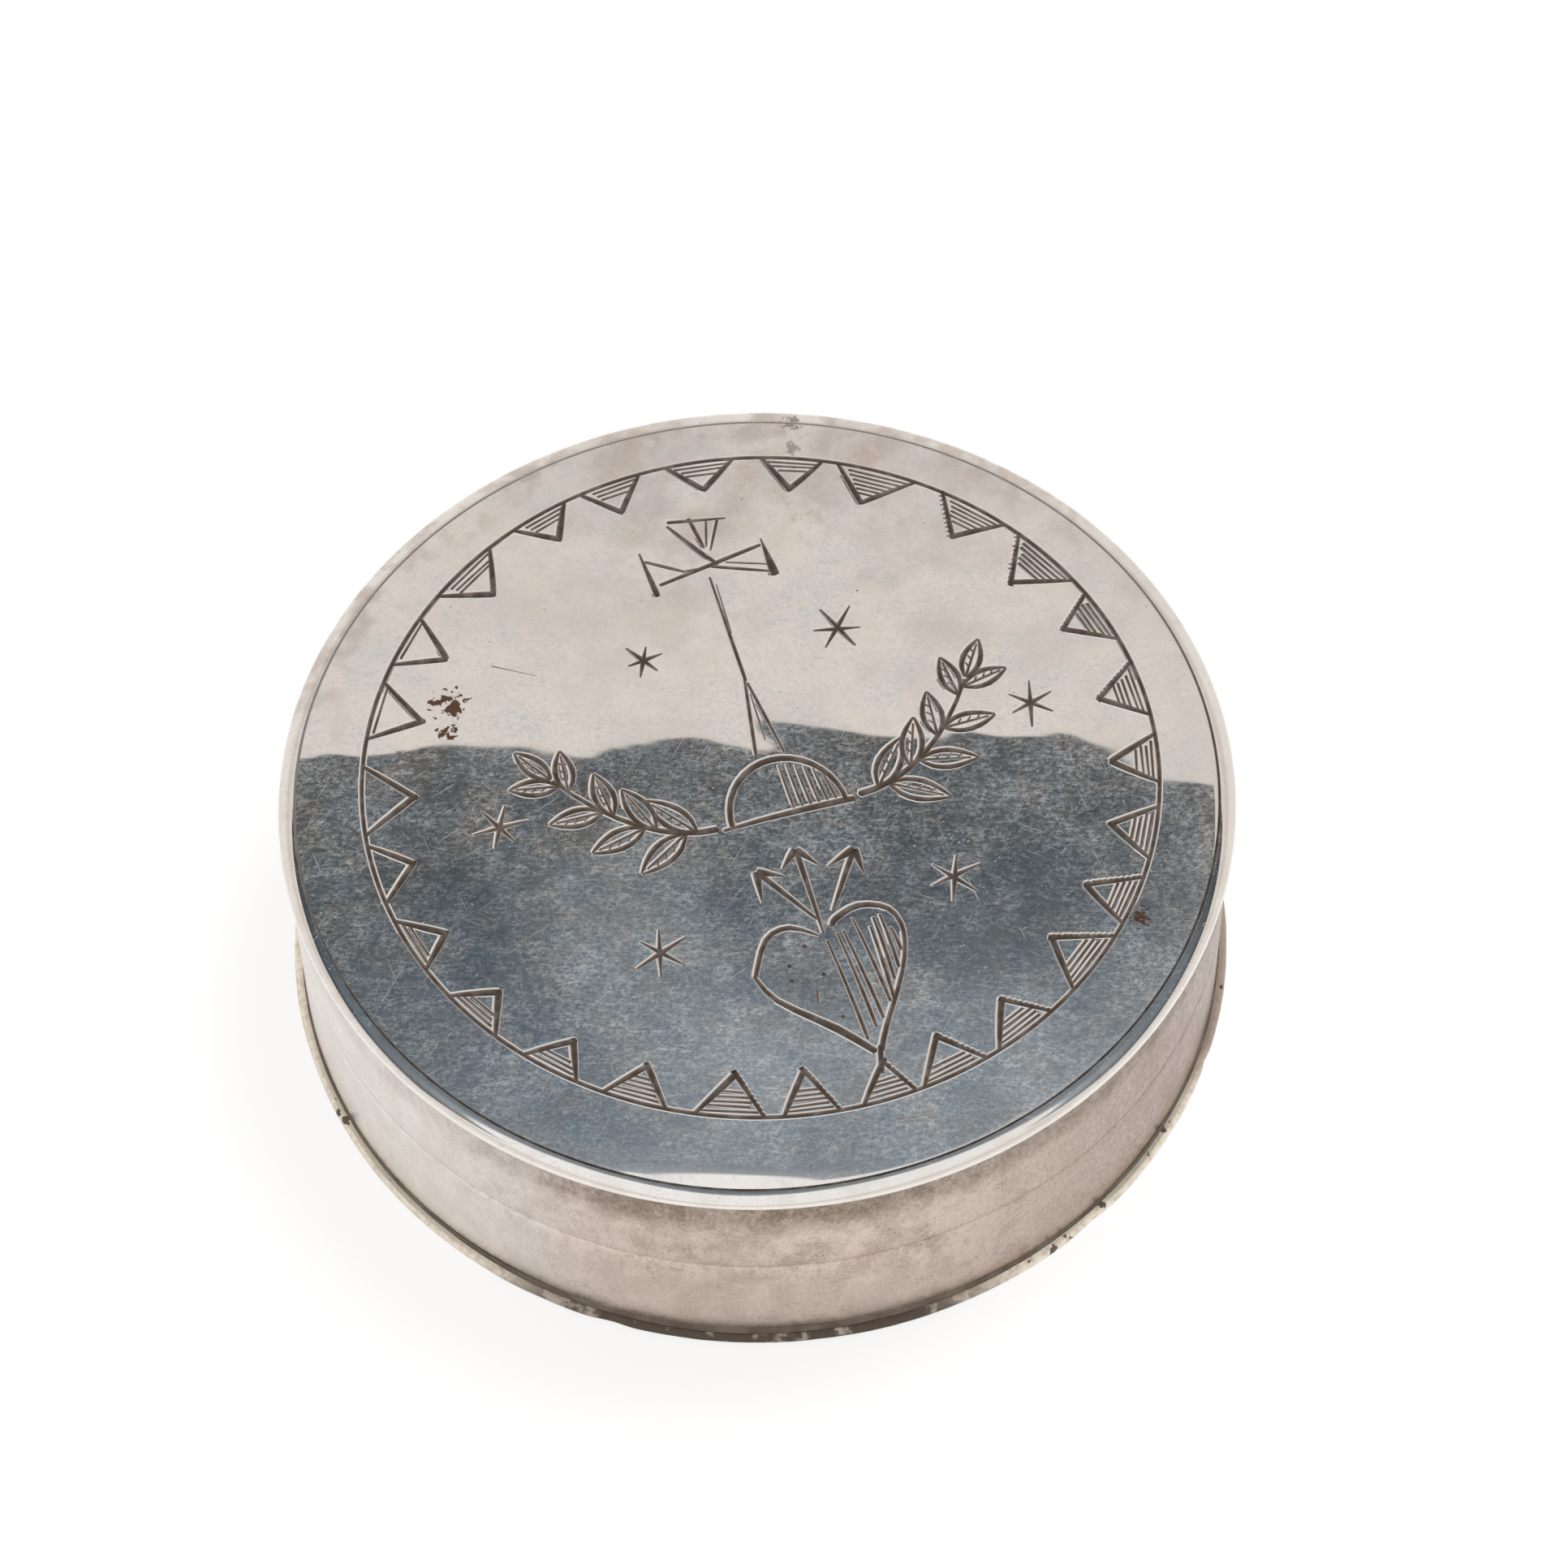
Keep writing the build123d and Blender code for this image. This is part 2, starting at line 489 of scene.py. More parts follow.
class StageSettings(bpy.types.PropertyGroup):
    """The plain studio round the object."""

    azimuth: FloatProperty(
        name="Azimuth", description="Where the camera stands round the object",
        default=math.radians(-15.0), subtype="ANGLE")
    elevation: FloatProperty(
        name="Elevation", description="Height of the camera above the horizon",
        default=math.radians(55.88), subtype="ANGLE")
    roll: FloatProperty(
        name="Roll", description="Tilt of the camera about its own line of sight",
        default=math.radians(-1.05), subtype="ANGLE")
    distance: FloatProperty(
        name="Distance", description="From the camera to the middle of the lid's rim",
        default=0.330, unit="LENGTH")
    lens: FloatProperty(
        name="Lens", description="Focal length for a 36 mm frame, in millimetres", default=120.9)
    aim_right: FloatProperty(
        name="Aim Right", description="How far right of the lid's middle the camera points",
        default=1.71 * MM, unit="LENGTH")
    aim_up: FloatProperty(
        name="Aim Up", description="How far above the lid's middle the camera points",
        default=0.35 * MM, unit="LENGTH")
    floor: FloatVectorProperty(
        name="Floor", description="Colour of the floor", subtype="COLOR", default=(0.94, 0.94, 0.94))
    key_power: FloatProperty(
        name="Key Light", description="Power of the soft light on the right, in watts", default=4.8)


# Shapes

def arc(centre, radii, start, end, count):
    """Points on a stretch of an ellipse, from a start to an end angle in degrees."""
    turns = [math.radians(start + (end - start) * i / count) for i in range(count + 1)]
    return [(centre[0] + radii[0] * math.cos(t), centre[1] + radii[1] * math.sin(t)) for t in turns]


def run(start, end, count):
    """Evenly spaced points on a straight line, without its last one."""
    start, end = Vector(start), Vector(end)
    return [tuple(start.lerp(end, i / count)) for i in range(count)]


def turned(profile, steps, closed):
    """Mesh of a profile of radius and level points, spun once round the axis."""
    bm = bmesh.new()
    verts = [bm.verts.new((radius, 0, level)) for radius, level in profile]
    ends = verts[1:] + verts[:1] if closed else verts[1:]
    edges = [bm.edges.new(pair) for pair in zip(verts, ends)]
    bmesh.ops.spin(bm, geom=verts + edges, axis=(0, 0, 1), angle=math.tau, steps=steps, use_merge=True)
    if not closed:
        bmesh.ops.holes_fill(bm, edges=bm.edges)
    bmesh.ops.recalc_face_normals(bm, faces=bm.faces)
    return bm


def gridded(bm, level, pitch):
    """Cuts the flat faces at a level into squares of a pitch, so that none has very many corners."""
    steps = int(LID_RADIUS / pitch)
    for axis in (Vector((1, 0, 0)), Vector((0, 1, 0))):
        for step in range(-steps, steps + 1):
            flat = [f for f in bm.faces if all(abs(v.co.z - level) < FLATNESS for v in f.verts)]
            wide = [f for f in flat if len(f.verts) > 3]
            parts = dict.fromkeys(part for f in wide for part in (f, *f.edges, *f.verts))
            place = axis * (step + GRID_SHIFT) * pitch
            bmesh.ops.bisect_plane(bm, geom=list(parts), plane_co=place, plane_no=axis)


def shade(bm, crease=32):
    """Smooth faces with sharp edges where the surface turns by more than the crease, in degrees."""
    for face in bm.faces:
        face.smooth = True
    for edge in bm.edges:
        edge.smooth = edge.calc_face_angle(0) < math.radians(crease)


def wander(bm, amount, size, seed):
    """Pushes the walls in and out by up to an amount, in waves of about a size."""
    for vert in bm.verts:
        sway = noise.noise(vert.co / size + Vector((seed, 0, 0)))
        radius = vert.co.xy.length
        vert.co.xy *= 1 + amount * sway / radius


def piece(name, bm, body, node, finishes):
    """Object from a finished mesh, placed in the frame as what stands for one of its nodes."""
    bmesh.ops.scale(bm, vec=(MM, MM, MM), verts=bm.verts)
    mesh = bpy.data.meshes.new(name)
    bm.to_mesh(mesh)
    bm.free()
    for finish in finishes:
        mesh.materials.append(finish)
    made = bpy.data.objects.new(name, mesh)
    bpy.context.scene.collection.objects.link(made)
    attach(made, body)
    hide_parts(node)
    return made


# Strokes of the graver

def flowing(points, count):
    """Points of a smooth curve that runs through given ones, with a count of steps between each two."""
    knots = [Vector(p) for p in points]
    curve = []
    for i in range(len(knots) - 1):
        before, after = knots[max(0, i - 1)], knots[min(len(knots) - 1, i + 2)]
        a, b = knots[i], knots[i + 1]
        handles = a + (b - before) / 6, b - (after - a) / 6
        curve += [p.to_2d() for p in interpolate_bezier(a, *handles, b, count + 1)[:-1]]
    return curve + [knots[-1]]


def spread(values, count):
    """Values stretched evenly to a longer count of them."""
    last = len(values) - 1
    places = [i * last / (count - 1) for i in range(count)]
    lows = [min(int(p), last - 1) for p in places]
    return [values[l] + (values[l + 1] - values[l]) * (p - l) for p, l in zip(places, lows)]


def straight(start, end, start_width, end_width):
    """A stroke from one place to another."""
    return Stroke((Vector(start), Vector(end)), (start_width, end_width))


def swelled(start, end, start_width, end_width, bow=0.0):
    """A stroke that is fullest past its middle, bowed to its left."""
    start, end = Vector(start), Vector(end)
    aside = (end - start).orthogonal().normalized() * bow
    points, widths = [], []
    for share, fullness in ((0.0, 0.8), (0.3, 0.98), (0.65, 1.1), (0.9, 1.05), (1.0, 0.9)):
        points.append(start.lerp(end, share) + aside * (4 * share * (1 - share)))
        widths.append((start_width + (end_width - start_width) * share) * fullness)
    return Stroke(points, widths)


def winding(rows, steps):
    """A stroke that flows through rows of place and width."""
    points = flowing([row[:2] for row in rows], steps)
    return Stroke(points, spread([row[2] for row in rows], len(points)))


def from_border(angle, depth):
    """Point at an angle of the border, in degrees, and a depth inside its circle."""
    turn = math.radians(angle)
    return BORDER_CENTRE + (BORDER_RADIUS - depth) * Vector((math.cos(turn), math.sin(turn)))


def ragged(start, end, start_width, end_width, hand):
    """A stroke whose right edge is left in teeth by a skidding graver."""
    start, end = Vector(start), Vector(end)
    aside = (end - start).orthogonal().normalized()
    count = 2 * round((end - start).length / TOOTH_PITCH)
    points, widths = [], []
    for i in range(count + 1):
        bite = TOOTH_DEPTH * hand.uniform(0.4, 1.0) if i % 2 else 0.0
        points.append(start.lerp(end, i / count) + aside * bite / 2)
        widths.append(start_width + (end_width - start_width) * i / count - bite)
    return Stroke(points, widths)


def border_strokes(side, hatch, hand):
    """Triangles that stand on the border circle and point inwards, hatched along their base."""
    strokes = []
    for row, (angle, span, reach, lines) in enumerate(TRIANGLES):
        left = from_border(angle + span / 2, -SIDE_OVERRUN)
        right = from_border(angle - span / 2, -SIDE_OVERRUN)
        apex = from_border(angle + hand.uniform(-0.4, 1.2), reach)
        over = (apex - left).normalized() * (0.12 + hand.uniform(0.0, 0.25))
        under = (apex - right).normalized() * (0.10 + hand.uniform(0.0, 0.5) ** 2)
        first = (left, apex + over, side * 0.8, side * hand.uniform(0.95, 1.2))
        strokes.append(ragged(*first, hand) if row in RAGGED else swelled(*first))
        second = (right, apex + under, side * 0.8, side * hand.uniform(0.9, 1.15))
        strokes.append(swelled(*second, bow=hand.uniform(-0.04, 0.04)))
        for line in range(lines):
            share = (HATCH_START + HATCH_PITCH * line) / reach
            a = left.lerp(apex, share).lerp(right.lerp(apex, share), hand.uniform(0.02, 0.14))
            b = right.lerp(apex, share + hand.uniform(-0.02, 0.02))
            strokes.append(straight(a, b, hatch * 1.25, hatch * hand.uniform(0.9, 1.1)))
    return strokes


def cross_strokes():
    """A cross with spreading arms on a long thin stem with a narrow foot."""
    return [swelled(*row) for row in CROSS]


def star_strokes(side, hand):
    """Six-pointed stars of three crossing strokes each."""
    strokes = []
    for x, y, ray, tilt in STARS:
        for turn in STAR_TURNS:
            angle = math.radians(tilt + turn + hand.uniform(-STAR_SLIP_TURN, STAR_SLIP_TURN))
            reach = ray * hand.uniform(0.85, 1.12) * Vector((math.cos(angle), math.sin(angle)))
            off = Vector((hand.uniform(-STAR_SLIP, STAR_SLIP), hand.uniform(-STAR_SLIP, STAR_SLIP)))
            middle = Vector((x, y)) + off
            widths = (STAR_END_WIDTHS[0], side * 0.85, STAR_END_WIDTHS[1])
            strokes.append(Stroke((middle - reach, middle, middle + reach), widths))
    return strokes


def heart_strokes(hatch):
    """A heart, its right half filled with long lines, under three barbed nails."""
    strokes = [winding(side, 3) for side in HEART_SIDES]
    widths = [hatch * share for share in HEART_LINE_WIDTHS]
    strokes += [swelled(top, foot, *widths, HEART_LINE_BOW) for top, foot in HEART_LINES]
    strokes.append(straight(*HEART_DASH, hatch, hatch))
    strokes.append(swelled(*HEART_TAIL))
    for tip, left, right, foot in NAILS:
        strokes.append(swelled(foot, tip, *SHANK_WIDTHS))
        strokes.append(swelled(left, tip, *LEFT_BARB_WIDTHS))
        strokes.append(swelled(right, tip, *RIGHT_BARB_WIDTHS))
    return strokes


def mound_strokes(side, hatch):
    """A rounded mound for the cross to stand on, with one flank hatched."""
    outline = [Vector(p) for p in arc(MOUND_CENTRE, MOUND_RADII, 0, 180, 18)]
    strokes = [Stroke(outline, spread((side * 0.8, side * 1.15, side * 0.9), len(outline)))]
    foot = MOUND_CENTRE.y
    half = MOUND_RADII[0]
    left = (MOUND_CENTRE.x - half - MOUND_FOOT, foot)
    right = (MOUND_CENTRE.x + half + MOUND_FOOT, foot)
    strokes.append(swelled(left, right, side * 0.8, side * 1.15, bow=0.12))
    for line in range(MOUND_LINES):
        across = 0.35 + MOUND_PITCH * line
        top = MOUND_RADII[1] * math.sqrt(1 - (across / half) ** 2)
        start = (MOUND_CENTRE.x + across, foot + top * 0.9)
        end = (MOUND_CENTRE.x + across * 1.1, foot + 0.3)
        strokes.append(swelled(start, end, hatch, hatch * 1.2))
    return strokes


def leaf_strokes(root, tip, breadth, hatch):
    """A pointed leaf with a rib, and short veins on one half."""
    along = tip - root
    aside = along.orthogonal().normalized() * breadth
    strokes = []
    for side in (1, -1):
        rows = [(*(root + along * share + aside * (side * off)), width) for share, off, width in LEAF_SIDE]
        strokes.append(winding(rows, 2))
    strokes.append(straight(root, root + along * 0.88, hatch * 1.3, hatch))
    for share in (0.28, 0.46, 0.64):
        vein = root + along * share
        strokes.append(straight(vein, vein + aside * 0.32 + along * 0.10, hatch, hatch * 0.7))
    return strokes


def spray_strokes(hatch):
    """Two leafy sprays that rise to the left and the right of the mound."""
    start, bend, end = (Vector(p) for p in SPRAY_STEM)

    def stem(share):
        return start.lerp(bend, share).lerp(bend.lerp(end, share), share)

    strokes = []
    for mirror in (1, -1):
        def place(point):
            return Vector((MOUND_CENTRE.x + mirror * point.x, point.y))

        points = [place(stem(i / 8)) for i in range(9)]
        strokes.append(Stroke(points, spread(SPRAY_STEM_WIDTHS, len(points))))
        for pair in range(SPRAY_PAIRS):
            share = 0.14 + 0.76 * pair / (SPRAY_PAIRS - 1)
            ahead = (stem(share + 0.05) - stem(share)).normalized()
            length = LEAF_LENGTH - LEAF_SHORTENING * share
            for lean, start_up in LEAF_LEANS:
                turn = Matrix.Rotation(math.radians(lean), 2)
                root = stem(share) + ahead * start_up
                tip = root + turn @ ahead * length
                strokes += leaf_strokes(place(root), place(tip), LEAF_BREADTH * length, hatch)
        tip = end + (end - bend).normalized() * TIP_LEAF_LENGTH
        strokes += leaf_strokes(place(end), place(tip), TIP_LEAF_BREADTH, hatch)
    return strokes


def lid_strokes(cut):
    """Every stroke on the lid, in millimetres."""
    hand = random.Random(cut.seed)
    side, hatch, slip = (width / MM for width in (cut.side_width, cut.hatch_width, cut.slip_width))
    strokes = border_strokes(side, hatch, hand)
    strokes += cross_strokes()
    strokes += star_strokes(side, hand)
    strokes += heart_strokes(hatch)
    strokes += mound_strokes(side, hatch)
    strokes += spray_strokes(hatch)
    strokes += [straight(a, b, slip, slip * 0.5) for a, b in SLIPS]
    return strokes


def ribbon(bm, stroke, slope, rise, level, upright):
    """Three-sided solid along a stroke: a roof that stands on a level, or hangs from it point down.

    The slope is the rise of its sides, and rise gives its height for a width of the stroke.
    """
    spine = list(stroke.points)
    last = len(spine) - 1
    tips = [bm.verts.new((*spine[end], level)) for end in (0, last)]
    for end, near in ((0, 1), (last, last - 1)):
        inwards = stroke.points[near] - stroke.points[end]
        share = min(END_SHARE, BLUNTNESS * stroke.widths[end] / inwards.length)
        spine[end] = spine[end] + inwards * share
    rings = []
    for i, place in enumerate(spine):
        height = rise(stroke.widths[i])
        ahead = (spine[min(i + 1, last)] - spine[max(i - 1, 0)]).normalized()
        aside = ahead.orthogonal() * height / slope
        point = level + height if upright else level - height
        corners = ((*(place - aside), level), (*(place + aside), level), (*place, point))
        rings.append([bm.verts.new(corner) for corner in corners])
    for a, b in zip(rings, rings[1:]):
        for i in range(3):
            bm.faces.new((a[i], a[i - 1], b[i - 1], b[i]))
    for tip, ring in zip(tips, (rings[0], rings[-1])):
        for i in range(3):
            bm.faces.new((tip, ring[i], ring[i - 1]))


def ring_wedge(bm, rise, level, slope, upright):
    """The border circle's share of the cutters: the same section as a stroke's, spun round."""
    half = rise / slope
    point = level + rise if upright else level - rise
    section = ((-half, level), (half, level), (0, point))
    verts = [bm.verts.new((BORDER_RADIUS + off, 0, height)) for off, height in section]
    edges = [bm.edges.new((verts[i], verts[(i + 1) % 3])) for i in range(3)]
    before = set(bm.verts)
    bmesh.ops.spin(bm, geom=verts + edges, axis=(0, 0, 1), angle=math.tau,
                   steps=BORDER_STEPS, use_merge=True)
    ring = [v for v in bm.verts if v not in before] + verts
    bmesh.ops.translate(bm, vec=(*BORDER_CENTRE, 0), verts=[v for v in ring if v.is_valid])


def tool(name, bm, index):
    """Object that a Boolean modifier can use, with one material index on all its faces."""
    bmesh.ops.recalc_face_normals(bm, faces=bm.faces)
    for face in bm.faces:
        face.material_index = max(face.material_index, index)
    mesh = bpy.data.meshes.new(name)
    bm.to_mesh(mesh)
    bm.free()
    made = bpy.data.objects.new(name, mesh)
    bpy.context.scene.collection.objects.link(made)
    return made


def rooms(stroke):
    """Room taken by each stretch of a stroke, as low x, high x, low y and high y."""
    room = max(stroke.widths) / 2 + BURR_ROOM
    return [(min(a.x, b.x) - room, max(a.x, b.x) + room, min(a.y, b.y) - room, max(a.y, b.y) + room)
            for a, b in zip(stroke.points, stroke.points[1:])]


def apart(some, others):
    """Whether no stretch of one stroke comes near a stretch of another."""
    return all(a[0] > b[1] or a[1] < b[0] or a[2] > b[3] or a[3] < b[2] for a in some for b in others)


def layers(strokes):
    """Sorts strokes into layers in which no two come near each other."""
    sheets = []
    for stroke in strokes:
        room = rooms(stroke)
        for sheet in sheets:
            if all(apart(room, taken) for taken, _ in sheet):
                sheet.append((room, stroke))
                break
        else:
            sheets.append([(room, stroke)])
    return [[stroke for _, stroke in sheet] for sheet in sheets]


def engrave(blank, cut, level):
    """Raises the burrs on a blank plate and cuts the strokes, and returns the result as a mesh."""
    groove_slope = 2 * cut.steepness
    burr_slope = cut.burr_height / cut.burr_width
    burr = cut.burr_width / MM
    border = cut.border_width / MM
    root = level - BURR_ROOT
    lift = level + CUTTER_LIFT

    def roof(width):
        return burr_slope * (width / 2 + burr * min(1.0, width / FULL_WIDTH)) + BURR_ROOT

    def keel(width):
        return groove_slope * width / 2 + CUTTER_LIFT

    burrs, grooves = [bmesh.new()], [bmesh.new(), bmesh.new()]
    ring_wedge(burrs[0], roof(border), root, burr_slope, True)
    ring_wedge(grooves[0], keel(border), lift, groove_slope, False)
    for x, y in HEART_DOTS:
        bottom, top = HEART_DOT_RADII
        bmesh.ops.create_cone(grooves[1], cap_ends=True, segments=10, radius1=bottom, radius2=top,
                              depth=HEART_DOT_DEPTH, matrix=Matrix.Translation((x, y, level)))
    for layer in layers(lid_strokes(cut)):
        burrs.append(bmesh.new())
        grooves.append(bmesh.new())
        for stroke in layer:
            if max(stroke.widths) > BOLD_WIDTH:
                thrown = stroke._replace(points=[p + BURR_THROW for p in stroke.points])
                ribbon(burrs[-1], thrown, burr_slope, roof, root, True)
            ribbon(grooves[-1], stroke, groove_slope, keel, lift, False)
    plate = tool("blank", blank, 0)
    cutters = [("UNION", tool("burrs", bm, 0)) for bm in burrs if bm.verts]
    cutters += [("DIFFERENCE", tool("grooves", bm, 1)) for bm in grooves]
    for operation, cutter in cutters:
        step = plate.modifiers.new(operation.title(), "BOOLEAN")
        step.operation = operation
        step.object = cutter
        step.solver = "MANIFOLD"
        step.material_mode = "INDEX"
    graph = bpy.context.evaluated_depsgraph_get()
    result = bmesh.new()
    result.from_object(plate, graph)
    for used in [plate] + [cutter for _, cutter in cutters]:
        mesh = used.data
        bpy.data.objects.remove(used)
        bpy.data.meshes.remove(mesh)
    return result


# Finishes

def paint(colour):
    """Colour with full opacity."""
    return (*colour, 1.0)


class Nodes:
    """Node tree under construction, with short calls for the nodes that finishes and the studio share."""

    def __init__(self, owner):
        owner.use_nodes = True
        self.tree = owner.node_tree
        self.tree.nodes.clear()

    def fill(self, socket, value):
        """Links another socket to one, or sets its value."""
        if isinstance(value, bpy.types.NodeSocket):
            self.tree.links.new(value, socket)
        else:
            socket.default_value = value

    def add(self, kind, inputs=None, **settings):
        """New node with its settings made and its inputs linked or filled."""
        made = self.tree.nodes.new("ShaderNode" + kind)
        for key, value in settings.items():
            setattr(made, key, value)
        for key, value in (inputs or {}).items():
            self.fill(made.inputs[key], value)
        return made

    def maths(self, operation, a, b):
        """Result of one sum."""
        return self.add("Math", {0: a, 1: b}, operation=operation).outputs[0]

    def times(self, *values):
        """Product of several values."""
        result = values[0]
        for value in values[1:]:
            result = self.maths("MULTIPLY", result, value)
        return result

    def most(self, *values):
        """Largest of several values."""
        result = values[0]
        for value in values[1:]:
            result = self.maths("MAXIMUM", result, value)
        return result

    def mix(self, share, first, second):
        """Colour between two others."""
        made = self.add("Mix", data_type="RGBA")
        sockets = {socket.identifier: socket for socket in made.inputs}
        self.fill(sockets["Factor_Float"], share)
        self.fill(sockets["A_Color"], first)
        self.fill(sockets["B_Color"], second)
        return next(socket for socket in made.outputs if socket.identifier == "Result_Color")

    def blend(self, share, first, second):
        """Shader between two others."""
        return self.add("MixShader", {0: share, 1: first, 2: second}).outputs[0]

    def bands(self, height, rows):
        """Colours laid out along a height."""
        ramp = self.add("ValToRGB", {0: height})
        elements = ramp.color_ramp.elements
        while len(elements) < len(rows):
            elements.new(0.5)
        for element, (place, colour) in zip(elements, rows):
            element.position = place
            element.color = paint(colour)
        return ramp.outputs[0]


class Finish(Nodes):
    """Material under construction, with the patterns that the finishes share."""

    def __init__(self, name):
        self.material = bpy.data.materials.new(name)
        super().__init__(self.material)
        self.place = self.add("TexCoord").outputs["Object"]
        self.axes = self.add("SeparateXYZ", {0: self.place}).outputs

    def mottle(self, size, detail=3.0, rough=0.55, stretch=(1, 1, 1), turn=0.0, seed=0.0):
        """Cloudy noise of about a size in millimetres, turned in the plan and drawn out."""
        place = self.add("Mapping", {
            "Vector": self.place,
            "Location": (seed, seed * 0.37, 0),
            "Rotation": (0, 0, math.radians(turn)),
            "Scale": stretch,
        }, vector_type="TEXTURE").outputs[0]
        inputs = {"Vector": place, "Scale": 1 / (size * MM), "Detail": detail, "Roughness": rough}
        return self.add("TexNoise", inputs).outputs["Fac"]

    def step(self, value, low, high):
        """Smooth 0 to 1 as a value goes from low to high."""
        inputs = {"Value": value, "From Min": low, "From Max": high}
        return self.add("MapRange", inputs, interpolation_type="SMOOTHSTEP").outputs["Result"]

    def scaled(self, value, low, high):
        """A 0 to 1 value laid out between two others."""
        inputs = {"Value": value, "To Min": low, "To Max": high}
        return self.add("MapRange", inputs).outputs["Result"]

    def spot(self, x, y, radius):
        """1 at a point of the plan, in millimetres, falling to 0 at a radius."""
        level = self.add("CombineXYZ", {0: x * MM, 1: y * MM, 2: self.axes[2]}).outputs[0]
        away = self.add("VectorMath", {0: self.place, 1: level}, operation="DISTANCE").outputs["Value"]
        return self.step(away, radius * MM, 0.0)

    def blot(self, x, y, radius, size):
        """Ragged stain about a point of the plan, broken up in patches of a size."""
        patches = self.mottle(size, 3.0, 0.6, seed=x * 0.01)
        ragged_edge = self.maths("ADD", patches, self.times(self.spot(x, y, radius), 0.34))
        return self.step(ragged_edge, 0.74, 0.78)

    def radius(self):
        """Distance from the axis, in metres."""
        plan = self.add("CombineXYZ", {0: self.axes[0], 1: self.axes[1]}).outputs[0]
        return self.add("VectorMath", {0: plan}, operation="LENGTH").outputs["Value"]

    def bump(self, height, depth, under=None):
        """Surface normal for a 0 to 1 height field of a depth in millimetres."""
        inputs = {"Height": height, "Distance": depth * MM, "Strength": 1.0}
        if under is not None:
            inputs["Normal"] = under
        return self.add("Bump", inputs).outputs[0]

    def metal(self, colour, roughness, normal, metallic=1.0):
        """Shader of a metal surface."""
        inputs = {"Base Color": colour, "Metallic": metallic, "Roughness": roughness, "Normal": normal}
        return self.add("BsdfPrincipled", inputs).outputs[0]

    def done(self, surface):
        """Ends the finish with its surface, and returns the material."""
        self.add("OutputMaterial", {"Surface": surface})
        return self.material


def hairlines(f, turns, size, share):
    """Fine straight scratches in several directions."""
    lines = []
    for count, turn in enumerate(turns):
        field = f.mottle(size, 1.0, 0.5, stretch=(40, 1, 1), turn=turn, seed=0.13 * (count + 1))
        lines.append(f.step(field, share, share + 0.04))
    return f.most(*lines)


